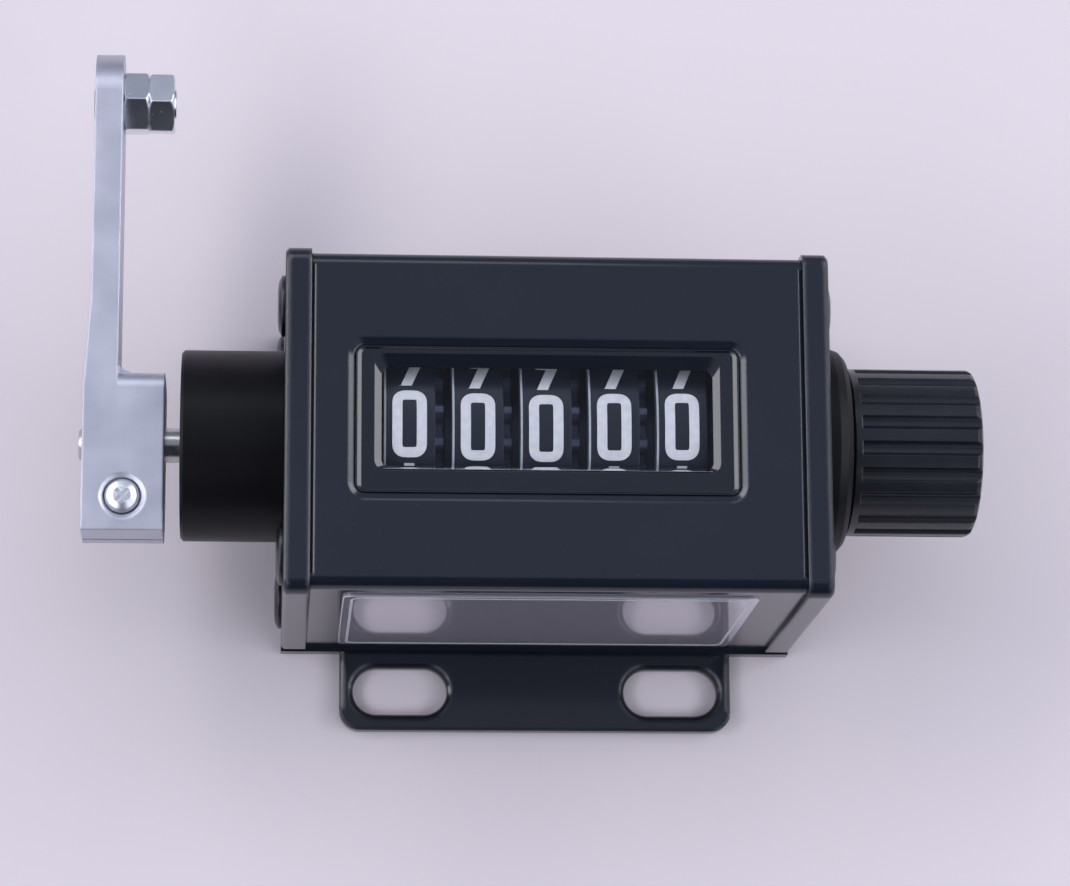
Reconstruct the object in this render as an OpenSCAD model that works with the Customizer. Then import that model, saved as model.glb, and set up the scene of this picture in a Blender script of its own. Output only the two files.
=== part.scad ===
// Five digit lever counter with foot mounting and knob reset.
// Part frame: X along the wheel axle toward the knob, Y away from the foot tab,
// Z up out of the window, origin on the mounting plane below the axle.

/* [Case] */
// Width over both end plates
body_w = 65; // [60:0.5:75]
// End plate thickness
plate_t = 3.1; // [2.4:0.1:4]
// End plate size front to back
plate_depth = 42; // [41:0.5:46]
// Height of the end plates above the mounting plane
front_z = 44; // [43.6:0.1:47]
// Corner radius of the end plates
plate_corner_r = 1.8; // [1:0.1:3]
// How far the end plates stand proud of the cover at front and back
cover_step = 0.6; // [0.3:0.1:1]
// How far the end plates stand proud of the cover at the top
cover_sink = 0.3; // [0.1:0.1:0.5]
// Cover wall thickness
cover_wall = 1.2; // [0.8:0.1:1.5]
// Rounding of the long cover edges
cover_edge_r = 1.6; // [0.8:0.1:2]
// Bevel on the outer edges of the end plates
edge_bevel = 0.4; // [0.2:0.05:0.6]
// Width of the flat bevel where the cover meets the end plates
end_bevel_w = 0.6; // [0.3:0.05:0.9]
// Depth of that bevel
end_bevel_h = 0.25; // [0.1:0.05:0.4]
// Height of the wheel axle above the mounting plane
axle_z = 27.4; // [27:0.1:27.6]

/* [Foot] */
// Base plate thickness
base_t = 2; // [1.5:0.1:2.5]
// Width of the foot tab
tab_w = 50; // [46:0.5:58]
// How far the foot tab reaches out of the body
tab_reach = 10; // [9:0.2:14]
// Corner radius of the foot tab
tab_corner_r = 2.6; // [1:0.1:4]
// Bevel on the foot tab edges and slot rims
tab_bevel = 0.6; // [0.2:0.1:0.9]
// Distance between the slot centres
slot_spacing = 34.6; // [30:0.2:36]
// Slot length over the round ends
slot_length = 12; // [9:0.5:13]
// Slot width
slot_width = 6; // [4:0.1:6.4]
// Distance of the slot centres from the body side
slot_offset = 5; // [4.4:0.1:5.4]

/* [Window] */
// Window frame length
frame_l = 45.6; // [43.5:0.1:46.5]
// Window frame width
frame_w = 17.7; // [17.4:0.1:18.2]
// Clear opening length
opening_l = 39.4; // [36:0.1:39.8]
// Clear opening width
opening_w = 12.2; // [10:0.1:12.8]
// Window centre along the axle
window_x = -1.3; // [-2:0.1:0]
// Inner slope of the window frame on its far side
slope_far = 1.65; // [1:0.05:1.8]
// Inner slope of the window frame on its near side
slope_near = 0.4; // [0.3:0.05:1.1]
// Inner slope of the window frame at its ends
slope_end = 0.9; // [0.4:0.05:1.1]
// Shift of the sloped opening towards the far side
opening_y = 0.95; // [0:0.05:1.2]
// Width of the rolled edge round the window
roll_w = 1.3; // [0.6:0.1:1.6]
// Lens thickness
lens_t = 0.8; // [0.6:0.1:0.9]

/* [Number wheels] */
// Radius over the digits
wheel_r = 14.2; // [13.6:0.1:14.3]
// Distance from one digit to the next wheel's digit
wheel_pitch = 8.13; // [8:0.01:8.2]
// Width of the digit band
band_w = 6.1; // [5.8:0.1:6.2]
// Position of the middle wheel along the axle
row_x = -1.4; // [-1.8:0.1:-1]
// Rim thickness
rim_t = 2; // [1.2:0.1:2.4]
// Width of the carry gear beside the digit band
gear_w = 1.05; // [0.8:0.05:1.2]
// Teeth on a carry gear
gear_teeth = 20; // [20:1:20]
// Teeth on a carry pinion
pinion_teeth = 8; // [8:1:8]
// Gear module
gear_module = 1.2; // [1.16:0.01:1.21]
// Carry pinion face width
pinion_w = 1.7; // [1.3:0.05:1.75]
// Wheel hub radius
hub_r = 4.4; // [3.6:0.1:5]
// Ratchet tip radius
ratchet_r = 10.5; // [9.8:0.1:10.8]
// Ratchet tooth depth
ratchet_depth = 1.9; // [1.5:0.1:2.1]
// Ratchet width
ratchet_w = 2; // [1.6:0.1:2.1]

/* [Axles] */
// Wheel axle radius
axle_r = 2; // [1.8:0.05:2.2]
// Drive shaft radius
shaft_r = 2.1; // [2:0.05:2.5]
// Pinion axle radius
pin_axle_r = 1; // [0.8:0.05:1.2]
// Radial running clearance
run_gap = 0.05; // [0.03:0.01:0.09]
// Radial clearance of pieces that are fixed together
fix_gap = 0.02; // [0.01:0.01:0.05]

/* [Drive side] */
// Drive housing radius
boss_r = 11.65; // [11:0.05:13]
// Drive housing length
boss_l = 12.4; // [11:0.1:15]
// Drive housing wall
boss_wall = 2.4; // [1.8:0.1:2.8]
// Gap between the housing and the lever hub
hub_gap = 2; // [1:0.1:3]
// Lever hub width along the shaft
hub_w = 9.8; // [8.5:0.1:11]
// Lever depth
lever_d = 12; // [10.5:0.5:13]
// Lever hub reach toward the arm
hub_up = 8; // [7:0.1:10]
// Lever hub reach toward the clamp screw
hub_down = 11.7; // [10.8:0.1:13]
// Lever arm thickness
arm_t = 3.4; // [3:0.1:5]
// Set back of the arm from the outer side of the hub
arm_inset = 0.75; // [0.1:0.05:1]
// Distance from the shaft to the stud
arm_l = 43.4; // [36:0.2:48]
// Clamp screw distance from the shaft
clamp_y = 7.5; // [6.8:0.1:8.2]
// Stud radius
stud_r = 2; // [1.5:0.1:2.2]
// Stud nut size across flats
nut_af = 7; // [6:0.1:8]
// Stud nut thickness
nut_t = 3.1; // [2.2:0.1:3.2]

/* [Reset side] */
// Reset collar radius
collar_r = 12.75; // [11:0.05:13.5]
// Reset collar thickness
collar_t = 3.4; // [2.4:0.1:4.4]
// Reset knob radius
knob_r = 10.3; // [9:0.1:11.5]
// Reset knob length
knob_l = 16.1; // [14:0.1:20]
// Grooves round the knob
knob_grooves = 20; // [16:1:24]

/* [Screws] */
// Plate screw head radius
screw_head_r = 3.7; // [3:0.1:3.9]
// Plate screw head height
screw_head_h = 0.9; // [0.7:0.1:1.4]
// Plate screw shank radius
screw_r = 1.5; // [1.2:0.05:1.6]
// Plate screw distance from the middle, front and back
screw_y = 15.2; // [15:0.1:15.6]
// Plate screw distance from the top and from the mounting plane
screw_z = 7; // [6.6:0.1:7.4]
// Tie post radius
post_r = 2.5; // [2.2:0.1:2.8]
// Base screw distance from the middle, front and back
base_screw_y = 12; // [11:0.1:12.6]
// Base screw shank radius
base_screw_r = 0.9; // [0.7:0.05:1]
// Base screw reach above the mounting plane
base_screw_l = 9; // [7:0.1:9.5]
// Housing screw shank radius
housing_screw_r = 0.7; // [0.5:0.05:0.8]
// Housing screw reach into the housing
housing_screw_l = 4.9; // [3.5:0.1:6]
// Click spring screw shank radius
click_screw_r = 0.75; // [0.6:0.05:0.9]
// Click spring screw distance from the middle
click_y = 14.5; // [14:0.1:15]

/* [Hidden] */
$fn = 48;
half_w = body_w / 2;
inner_x = half_w - plate_t;
plate_y = plate_depth / 2;
cover_y = plate_y - cover_step;
cover_top = front_z - cover_sink;
cover_in_y = cover_y - cover_wall;
cover_in_z = cover_top - cover_wall;
frame_gap = 0.05;
frame_top = cover_top - 0.35;
lip_t = 0.7;
lip_out = 1.4;
lens_gap = 0.05;
lens_l = opening_l + 2.2;
lens_w = opening_w + 1;
slope_w = opening_w + slope_far + slope_near;
slope_y = min(opening_y, (frame_w - slope_w) / 2 - 0.5);
open_y = slope_y + (slope_near - slope_far) / 2;
roll_d = 0.55;
roll_steps = [[0, 1], [0.14, 0.64], [0.74, 0.08], [1, 0]];
post_low_z = screw_z;
post_high_z = front_z - screw_z;
post_bore = screw_r + run_gap;
screw_l = plate_t + 7;
post_bore_l = screw_l - plate_t + 2;
base_head_r = base_screw_r + 0.5;
base_sink = 1;
housing_head_r = housing_screw_r + 0.8;
gear_r = gear_module * gear_teeth / 2;
pinion_r = gear_module * pinion_teeth / 2;
tooth_up = 0.7 * gear_module;
tooth_down = 0.95 * gear_module;
tooth_angle = 25;
tooth_slack = 1.2;
centre_d = gear_r + pinion_r;
pinion_z = axle_z - centre_d;
carry_tip_r = centre_d - pinion_r - tooth_up - 0.5;
carry_r = carry_tip_r - 1.9;
carry_w = 0.75;
wheel_bore = axle_r + run_gap;
shaft_bore = shaft_r + run_gap;
wheel_count = 5;
function wheel_x(i) = row_x + (i - 2) * wheel_pitch - band_w / 2;
units_x = wheel_x(4);
ratchet_x = units_x + band_w;
ratchet_end = ratchet_x + ratchet_w;
pivot_x = wheel_x(0) - 1.8;
pilot_r = 1.45;
boss_x = -half_w - boss_l;
boss_in_r = boss_r - boss_wall;
boss_end_t = 2;
hub_x = boss_x - hub_gap - hub_w;
shaft_x = hub_x - 0.6;
jaw_r = 4;
flare_l = 9;
stud_out = 0.2;
bush_r = 4.5;
bush_flange_r = 6;
bush_flange_t = 0.9;
collar_x = half_w;
knob_x = collar_x + collar_t + 0.15;
knob_end = knob_x + knob_l;
axle_end = knob_end - 2.6;
yoke_angle = -30;
yoke_in = wheel_r + 0.7;
yoke_bar_t = 1.4;
yoke_bar_w = 4.6;
yoke_left = -inner_x + 0.5;
yoke_right = inner_x - 3.2;
yoke_arm_t = 2;
yoke_hub_r = 5;
yoke_pin_r = 0.75;
yoke_pin_x = yoke_left + 1.5;
pin_gap = 0.94;
pilot_l = pivot_x - yoke_pin_x - yoke_pin_r - pin_gap;
pawl_x = ratchet_x + 0.35;
pawl_w = ratchet_w - 0.7;
pawl_tip = -51;
ratchet_phase = pawl_tip - 2.5;
click_tip = ratchet_phase + 252 + 1.9;
spring_r = 6.4;
spring_wire = 0.45;
spring_turns = 4.5;
spring_rise = 1.25;
spring_x = -half_w - 2.6;
collar_ring_r = 4.8;

// Shared shapes
module along_x(x, y, z) {
    translate([x, y, z]) rotate([90, 0, 90]) children();
}

module on_axis(x) {
    along_x(x, 0, axle_z) children();
}

module rod(x0, x1, r) {
    on_axis(x0) cylinder(h = x1 - x0, r = r);
}

module soft_rect(w, h, r) {
    square([w - 2 * r, h], center = true);
    square([w, h - 2 * r], center = true);
    for (sx = [-1, 1], sy = [-1, 1])
        translate([sx * (w / 2 - r), sy * (h / 2 - r)]) circle(r = r);
}

module slot_cut(h) {
    straight = slot_length - slot_width;
    translate([-straight / 2, -slot_width / 2, -0.1]) cube([straight, slot_width, h + 0.2]);
    for (s = [-1, 1]) {
        translate([s * straight / 2, 0, -0.1]) cylinder(h = h + 0.2, d = slot_width);
        translate([s * straight / 2, 0, h - tab_bevel])
            cylinder(h = tab_bevel + 0.01, d1 = slot_width, d2 = slot_width + 2 * tab_bevel);
    }
    translate([-straight / 2, 0, h]) rotate([90, 0, 90]) linear_extrude(straight)
        polygon([[-slot_width / 2 - tab_bevel, 0.01], [slot_width / 2 + tab_bevel, 0.01],
            [slot_width / 2, -tab_bevel], [-slot_width / 2, -tab_bevel]]);
}

function involute(a) = tan(a) * 180 / PI - a;
function flank(r, pitch_r, half) =
    half + involute(tooth_angle) - involute(acos(min(1, pitch_r * cos(tooth_angle) / r)));
function at(r, a) = [r * cos(a), r * sin(a)];

module tooth_ring(teeth, phase) {
    pr = gear_module * teeth / 2;
    tip = pr + tooth_up;
    base = max(pr * cos(tooth_angle), pr - tooth_down + 0.05);
    root = pr - tooth_down;
    half = 90 / teeth - tooth_slack * 12 / pr / 2;
    mid = (base + tip) / 2;
    polygon([for (i = [0:teeth - 1]) let (c = phase + i * 360 / teeth) each [
        at(root, c - flank(base, pr, half) - 0.6),
        at(base, c - flank(base, pr, half)),
        at(mid, c - flank(mid, pr, half)),
        at(tip, c - flank(tip, pr, half)),
        at(tip, c + flank(tip, pr, half)),
        at(mid, c + flank(mid, pr, half)),
        at(base, c + flank(base, pr, half)),
        at(root, c + flank(base, pr, half) + 0.6)]]);
}

module cross_cut(l, w, z0, z1) {
    for (a = [45, 135])
        rotate([0, 0, a]) translate([-l / 2, -w / 2, z0]) cube([l, w, z1 - z0]);
}

module plate_holes(x) {
    for (y = [-screw_y, screw_y], z = [post_low_z, post_high_z])
        along_x(x - 0.1, y, z) cylinder(h = plate_t + 0.2, r = screw_r + run_gap);
}

module plate_blank(x) {
    h = front_z - base_t;
    out = x < 0 ? 0 : plate_t - edge_bevel;
    difference() {
        union() {
            along_x(x + (x < 0 ? edge_bevel : 0), 0, base_t + h / 2)
                linear_extrude(plate_t - edge_bevel) soft_rect(plate_depth, h, plate_corner_r);
            hull() {
                along_x(x + out, 0, base_t + h / 2) linear_extrude(edge_bevel)
                    soft_rect(plate_depth - 2 * edge_bevel, h - 2 * edge_bevel,
                        plate_corner_r - edge_bevel, $fn = 32);
                along_x(x + (x < 0 ? edge_bevel : out), 0, base_t + h / 2)
                    translate([0, 0, x < 0 ? 0 : -0.01]) linear_extrude(0.01)
                    soft_rect(plate_depth, h, plate_corner_r, $fn = 32);
            }
        }
        plate_holes(x);
        for (y = [-base_screw_y, base_screw_y])
            translate([x + plate_t / 2, y, base_t - 0.1])
                cylinder(h = base_screw_l - base_t + 1, r = base_screw_r + run_gap);
    }
}

module plate_screws(side) {
    for (y = [-screw_y, screw_y], z = [post_low_z, post_high_z])
        along_x(0, y, z) rotate([0, side < 0 ? 180 : 0, 0]) translate([0, 0, half_w])
            difference() {
                rotate_extrude() polygon([[0, -screw_l], [screw_r - 0.3, -screw_l],
                    [screw_r, -screw_l + 0.3], [screw_r, 0], [screw_head_r, 0],
                    [screw_head_r, screw_head_h * 0.45],
                    [screw_head_r * 0.8, screw_head_h * 0.85],
                    [screw_head_r * 0.5, screw_head_h], [0, screw_head_h]]);
                cross_cut(3.4, 0.8, screw_head_h * 0.3, screw_head_h + 0.1);
            }
}

module drum(x, has_carry) {
    difference() {
        union() {
            difference() {
                rod(x, x + band_w, wheel_r);
                rod(x - 0.1, x + band_w - 1, wheel_r - rim_t);
            }
            rod(x - (has_carry ? carry_w : 0), x + band_w, hub_r);
            if (has_carry) {
                rod(x - carry_w, x + 0.8, carry_r);
                for (s = [-1, 1])
                    on_axis(x - carry_w) rotate([0, 0, -60 + s * 9])
                        translate([carry_r - 0.6, -0.6, 0])
                        cube([carry_tip_r - carry_r + 0.6, 1.2, carry_w + 0.8]);
            }
            children();
        }
        rod(x - 5, x + band_w + 5, wheel_bore);
    }
}

module counting_wheel(i, has_carry) {
    x = wheel_x(i);
    color([0.05, 0.05, 0.055]) drum(x, has_carry) {
        on_axis(x + band_w - 0.5) linear_extrude(gear_w + 0.5)
            tooth_ring(gear_teeth, -90 + 180 / gear_teeth);
        rod(x, x + band_w + gear_w, hub_r);
    }
}

module carry_pinion(i) {
    x = wheel_x(i) + band_w + 0.15;
    color([0.75, 0.74, 0.7]) difference() {
        along_x(x, 0, pinion_z) linear_extrude(pinion_w) tooth_ring(pinion_teeth, 90);
        along_x(x - 0.1, 0, pinion_z) cylinder(h = pinion_w + 0.2, r = pin_axle_r + run_gap);
    }
}

module ring_clip(x, r_in, r_out, t) {
    difference() {
        rod(x, x + t, r_out);
        rod(x - 0.1, x + t + 0.1, r_in);
        on_axis(x - 0.1) translate([-1, -r_out - 1, 0]) cube([2, r_out + 1, t + 0.2]);
    }
}

// Foot and case
module base_plate() {
    tab_y = -plate_y - tab_reach;
    color([0.04, 0.04, 0.045]) difference() {
        union() {
            translate([-half_w, -plate_y, 0]) cube([body_w, plate_depth, base_t]);
            translate([-tab_w / 2, tab_y + tab_corner_r, 0])
                cube([tab_w, tab_reach, base_t]);
            translate([-tab_w / 2 + tab_corner_r, tab_y, 0])
                cube([tab_w - 2 * tab_corner_r, tab_reach, base_t]);
            for (s = [-1, 1])
                translate([s * (tab_w / 2 - tab_corner_r), tab_y + tab_corner_r, 0])
                    cylinder(h = base_t, r = tab_corner_r);
        }
        for (s = [-1, 1]) {
            translate([s * slot_spacing / 2, -plate_y - slot_offset, 0]) slot_cut(base_t);
            translate([s * tab_w / 2, tab_y + tab_corner_r, base_t]) rotate([90, 0, 180])
                linear_extrude(tab_reach - tab_corner_r)
                polygon([[-tab_bevel, 0.01], [tab_bevel, 0.01], [0, -tab_bevel]]);
        }
        for (sx = [-1, 1], y = [-base_screw_y, base_screw_y])
            translate([sx * (half_w - plate_t / 2), y, 0]) {
                translate([0, 0, -0.1]) cylinder(h = base_t + 0.2, r = base_screw_r + run_gap);
                translate([0, 0, -0.01]) cylinder(h = base_sink + 0.11,
                    r1 = base_head_r + 0.11 + run_gap, r2 = base_screw_r + run_gap);
            }
        translate([pawl_x + pawl_w / 2, -click_y, -0.1])
            cylinder(h = base_t + 0.2, r = click_screw_r + run_gap);
    }
}

module base_screws() {
    l = base_screw_l;
    r = base_screw_r;
    color([0.6, 0.6, 0.62]) for (sx = [-1, 1], y = [-base_screw_y, base_screw_y])
        translate([sx * (half_w - plate_t / 2), y, 0]) rotate_extrude()
            polygon([[0, 0.1], [base_head_r, 0.1], [r, base_sink + 0.1], [r, l - 0.4],
                [r - 0.3, l], [0, l]]);
}

module rolled_rim(step) {
    out = frame_gap + step[0] * (roll_w - frame_gap);
    translate([window_x, 0, cover_top + 0.01 - step[1] * roll_d]) linear_extrude(0.01)
        soft_rect(frame_l + 2 * out, frame_w + 2 * out, 1.2 + out, $fn = 32);
}

module case_cover() {
    h = cover_top - base_t;
    color([0.035, 0.035, 0.04]) difference() {
        along_x(-inner_x, 0, base_t) linear_extrude(2 * inner_x) difference() {
            union() {
                translate([-cover_y, 0]) square([2 * cover_y, h - cover_edge_r]);
                translate([-cover_y + cover_edge_r, 0])
                    square([2 * (cover_y - cover_edge_r), h]);
                for (s = [-1, 1])
                    translate([s * (cover_y - cover_edge_r), h - cover_edge_r])
                        circle(r = cover_edge_r);
            }
            translate([-cover_in_y, -1]) square([2 * cover_in_y, cover_in_z - base_t + 1]);
        }
        for (sx = [-1, 1])
            translate([sx * inner_x, cover_y - cover_edge_r, cover_top]) rotate([90, 0, 0])
                linear_extrude(2 * (cover_y - cover_edge_r))
                polygon([[-sx * end_bevel_w, 0], [-sx * end_bevel_w, 0.1], [sx, 0.1],
                    [sx, -end_bevel_h], [0, -end_bevel_h]]);
        translate([window_x, 0, cover_in_z - 0.1]) linear_extrude(cover_wall + 0.2)
            soft_rect(frame_l + 2 * frame_gap, frame_w + 2 * frame_gap, 1.2);
        for (k = [0:len(roll_steps) - 2]) hull() {
            rolled_rim(roll_steps[k]);
            rolled_rim(roll_steps[k + 1]);
        }
    }
}

module left_end_plate() {
    color([0.04, 0.04, 0.045]) difference() {
        plate_blank(-half_w);
        rod(-half_w - 0.1, -inner_x + 0.1, bush_r + fix_gap);
        along_x(-half_w + 1, 0, pinion_z) cylinder(h = plate_t, r = pin_axle_r + fix_gap);
        for (a = [90, 210, 330])
            on_axis(-half_w - 0.1) rotate([0, 0, a]) translate([boss_r - boss_wall / 2, 0, 0]) {
                cylinder(h = plate_t + 0.2, r = housing_screw_r + 0.1 + run_gap);
                translate([0, 0, plate_t - 0.5]) cylinder(h = 0.8, r = housing_head_r + 0.1);
            }
    }
}

module right_end_plate() {
    color([0.04, 0.04, 0.045]) difference() {
        plate_blank(inner_x);
        rod(inner_x - 0.1, half_w + 0.1, bush_r + fix_gap);
        along_x(inner_x - 1, 0, pinion_z) cylinder(h = plate_t, r = pin_axle_r + fix_gap);
    }
}

module left_plate_screws() {
    color([0.05, 0.05, 0.055]) plate_screws(-1);
}

module right_plate_screws() {
    color([0.05, 0.05, 0.055]) plate_screws(1);
}

module tie_posts() {
    color([0.7, 0.7, 0.72]) for (y = [-screw_y, screw_y], z = [post_low_z, post_high_z])
        difference() {
            along_x(-inner_x, y, z) cylinder(h = 2 * inner_x, r = post_r);
            along_x(-inner_x - 0.1, y, z) cylinder(h = post_bore_l, r = post_bore);
            along_x(inner_x - post_bore_l + 0.1, y, z) cylinder(h = post_bore_l, r = post_bore);
        }
}

module window_frame() {
    z0 = cover_in_z - lip_t;
    ledge = frame_top - 0.25;
    color([0.03, 0.03, 0.035]) difference() {
        union() {
            translate([window_x, 0, z0]) linear_extrude(lip_t)
                soft_rect(frame_l + 2 * lip_out, frame_w + 2 * lip_out, 1.6);
            translate([window_x, 0, z0]) linear_extrude(frame_top - z0)
                soft_rect(frame_l, frame_w, 1.15);
        }
        translate([window_x, open_y, z0 - 0.1]) linear_extrude(frame_top - z0 + 0.2)
            soft_rect(opening_l, opening_w, 1);
        translate([window_x, open_y, z0 - 0.1]) linear_extrude(lens_t + 0.1 + lens_gap)
            soft_rect(lens_l + 2 * lens_gap, lens_w + 2 * lens_gap, 0.8);
        hull() {
            translate([window_x, 0, ledge]) linear_extrude(0.01)
                soft_rect(frame_l - 1.4, frame_w - 0.6, 0.7, $fn = 32);
            translate([window_x, 0, frame_top + 0.01]) linear_extrude(0.01)
                soft_rect(frame_l - 0.3, frame_w - 0.2, 1, $fn = 32);
        }
        hull() {
            translate([window_x, open_y, ledge - 0.4]) linear_extrude(0.01)
                soft_rect(opening_l, opening_w, 1, $fn = 32);
            translate([window_x, slope_y, ledge]) linear_extrude(0.01)
                soft_rect(opening_l + 2 * slope_end, slope_w, 1.3, $fn = 32);
        }
    }
}

module window_lens() {
    z0 = cover_in_z - lip_t;
    color([0.85, 0.9, 0.92, 0.35]) translate([window_x, open_y, z0]) linear_extrude(lens_t)
        soft_rect(lens_l, lens_w, 0.75);
}

// Drive side
module drive_housing() {
    color([0.05, 0.05, 0.055]) difference() {
        on_axis(boss_x) rotate_extrude() polygon([[0, 0.0], [boss_r - 0.35, 0], [boss_r, 0.35],
            [boss_r, boss_l], [0, boss_l]]);
        rod(boss_x + boss_end_t, -half_w + 0.1, boss_in_r);
        rod(boss_x - 0.1, -half_w, bush_r + fix_gap);
        for (a = [90, 210, 330])
            on_axis(-half_w - housing_screw_l - 0.3) rotate([0, 0, a])
                translate([boss_r - boss_wall / 2, 0, 0])
                cylinder(h = housing_screw_l + 0.5, r = housing_screw_r + run_gap);
    }
}

module housing_screws() {
    l = housing_screw_l;
    r = housing_screw_r;
    color([0.6, 0.6, 0.62]) for (a = [90, 210, 330])
        on_axis(-half_w) rotate([0, 0, a]) translate([boss_r - boss_wall / 2, 0, 0])
            rotate_extrude() polygon([[0, -l], [r - 0.2, -l], [r, 0.2 - l], [r, plate_t - 0.5],
                [housing_head_r, plate_t - 0.5], [housing_head_r, plate_t - 0.05],
                [0, plate_t - 0.05]]);
}

module outer_bush() {
    color([0.72, 0.55, 0.28]) difference() {
        union() {
            rod(boss_x, boss_x + boss_end_t, bush_r);
            rod(boss_x + boss_end_t, boss_x + boss_end_t + bush_flange_t, bush_flange_r);
        }
        rod(boss_x - 0.1, boss_x + 5, shaft_bore);
    }
}

module inner_bush() {
    color([0.72, 0.55, 0.28]) difference() {
        union() {
            rod(-half_w, -inner_x, bush_r);
            rod(-half_w - bush_flange_t, -half_w, bush_flange_r);
        }
        rod(-half_w - 5, -inner_x + 0.1, shaft_bore);
    }
}

function coil_at(t) = let (a = t * 360 * spring_turns)
    [spring_x - t * spring_turns * spring_rise, spring_r * cos(a), spring_r * sin(a)];
coil_steps = 20 * spring_turns;
ring_sides = 8;

module return_spring() {
    legs_in = [[spring_x, 3.9, -1.2], [spring_x, 5.2, -0.9]];
    last = coil_at(1);
    legs_out = [[last[0], last[1] - 1.3, last[2] - 0.6], [last[0], last[1] - 2.4, last[2] - 0.9]];
    path = concat(legs_in, [for (k = [0:coil_steps]) coil_at(k / coil_steps)], legs_out);
    n = len(path);
    function dir(k) = let (d = path[min(k + 1, n - 1)] - path[max(k - 1, 0)]) d / norm(d);
    points = [for (k = [0:n - 1]) let (d = dir(k), u0 = cross(d, [1, 0, 0]), u = u0 / norm(u0),
        v = cross(d, u)) for (j = [0:ring_sides - 1]) path[k]
        + spring_wire * (cos(j * 360 / ring_sides) * u + sin(j * 360 / ring_sides) * v)];
    faces = concat([[for (j = [0:ring_sides - 1]) j]],
        [for (k = [0:n - 2], j = [0:ring_sides - 1]) let (a = k * ring_sides,
            m = (j + 1) % ring_sides) each [[a + j, a + ring_sides + j, a + ring_sides + m],
            [a + j, a + ring_sides + m, a + m]]],
        [[for (j = [ring_sides - 1:-1:0]) (n - 1) * ring_sides + j]]);
    color([0.7, 0.7, 0.72]) translate([0, 0, axle_z]) polyhedron(points, faces, convexity = 6);
}

module drive_shaft() {
    color([0.75, 0.75, 0.77]) difference() {
        union() {
            on_axis(shaft_x) rotate_extrude() polygon([[0, 0], [shaft_r - 0.4, 0], [shaft_r, 0.4],
                [shaft_r, pivot_x - shaft_x - 0.2], [shaft_r - 0.2, pivot_x - shaft_x],
                [0, pivot_x - shaft_x]]);
        }
        rod(pivot_x - pilot_l - 0.3, pivot_x + 0.1, pilot_r + run_gap);
        difference() {
            rod(boss_x + boss_end_t + bush_flange_t + 0.15, boss_x + boss_end_t + bush_flange_t + 0.75,
                shaft_r + 0.1);
            rod(boss_x + boss_end_t, boss_x + boss_end_t + 3, shaft_r - 0.5);
        }
        translate([yoke_pin_x, 0, axle_z]) cylinder(h = 20, r = yoke_pin_r + fix_gap, center = true);
    }
}

module spring_collar() {
    color([0.6, 0.6, 0.62]) difference() {
        rod(spring_x - 2, -half_w - 1.1, collar_ring_r);
        rod(spring_x - 3, -half_w, shaft_r + fix_gap);
        translate([spring_x - 0.7, 2.8, axle_z - 2.4]) cube([1.4, 4, 2.6]);
    }
}

module shaft_clip() {
    x = boss_x + boss_end_t + bush_flange_t + 0.18;
    color([0.35, 0.35, 0.37]) ring_clip(x, shaft_r - 0.48, shaft_r + 1.4, 0.54);
}

module drive_yoke() {
    color([0.66, 0.66, 0.69]) difference() {
        union() {
            rod(yoke_left, yoke_left + 3, yoke_hub_r);
            rod(yoke_right - yoke_arm_t, yoke_right + 0.6, yoke_hub_r);
            for (x = [yoke_left, yoke_right - yoke_arm_t])
                on_axis(x) rotate([0, 0, yoke_angle]) translate([0, -yoke_bar_w / 2, 0])
                    cube([yoke_in + yoke_bar_t, yoke_bar_w, yoke_arm_t]);
            on_axis(yoke_left) rotate([0, 0, yoke_angle]) translate([yoke_in, -yoke_bar_w / 2, 0])
                cube([yoke_bar_t, yoke_bar_w, yoke_right - yoke_left]);
        }
        rod(yoke_left - 0.1, yoke_left + 3.1, shaft_r + fix_gap);
        rod(yoke_right - 3, yoke_right + 1, wheel_bore);
        translate([yoke_pin_x, 0, axle_z]) cylinder(h = 20, r = yoke_pin_r + fix_gap, center = true);
        on_axis(pawl_x + pawl_w / 2) rotate([0, 0, yoke_angle]) translate([yoke_in - 0.1, 0, 0])
            rotate([0, 90, 0]) cylinder(h = yoke_bar_t + 0.2, r = 0.5 + fix_gap);
    }
}

module yoke_pin() {
    color([0.75, 0.75, 0.77]) translate([yoke_pin_x, 0, axle_z])
        cylinder(h = 2 * yoke_hub_r - 0.5, r = yoke_pin_r, center = true);
}

module drive_pawl() {
    tip = at(ratchet_r - ratchet_depth + 0.35, pawl_tip + 0.5);
    foot = at(yoke_in - 0.25, yoke_angle - 5);
    dx = tip - foot;
    l = norm(dx);
    color([0.7, 0.7, 0.72]) union() {
        on_axis(pawl_x) translate([foot[0], foot[1], 0]) rotate([0, 0, atan2(dx[1], dx[0])])
            translate([0, -0.25, 0]) cube([l, 0.5, pawl_w]);
        on_axis(pawl_x) rotate([0, 0, yoke_angle]) translate([yoke_in - 0.5, -1.9, 0])
            cube([0.5, 3.6, pawl_w]);
        on_axis(pawl_x + pawl_w / 2) rotate([0, 0, yoke_angle]) translate([yoke_in - 0.2, 0, 0])
            rotate([0, 90, 0]) cylinder(h = yoke_bar_t + 0.2, r = 0.5);
    }
}

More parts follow.
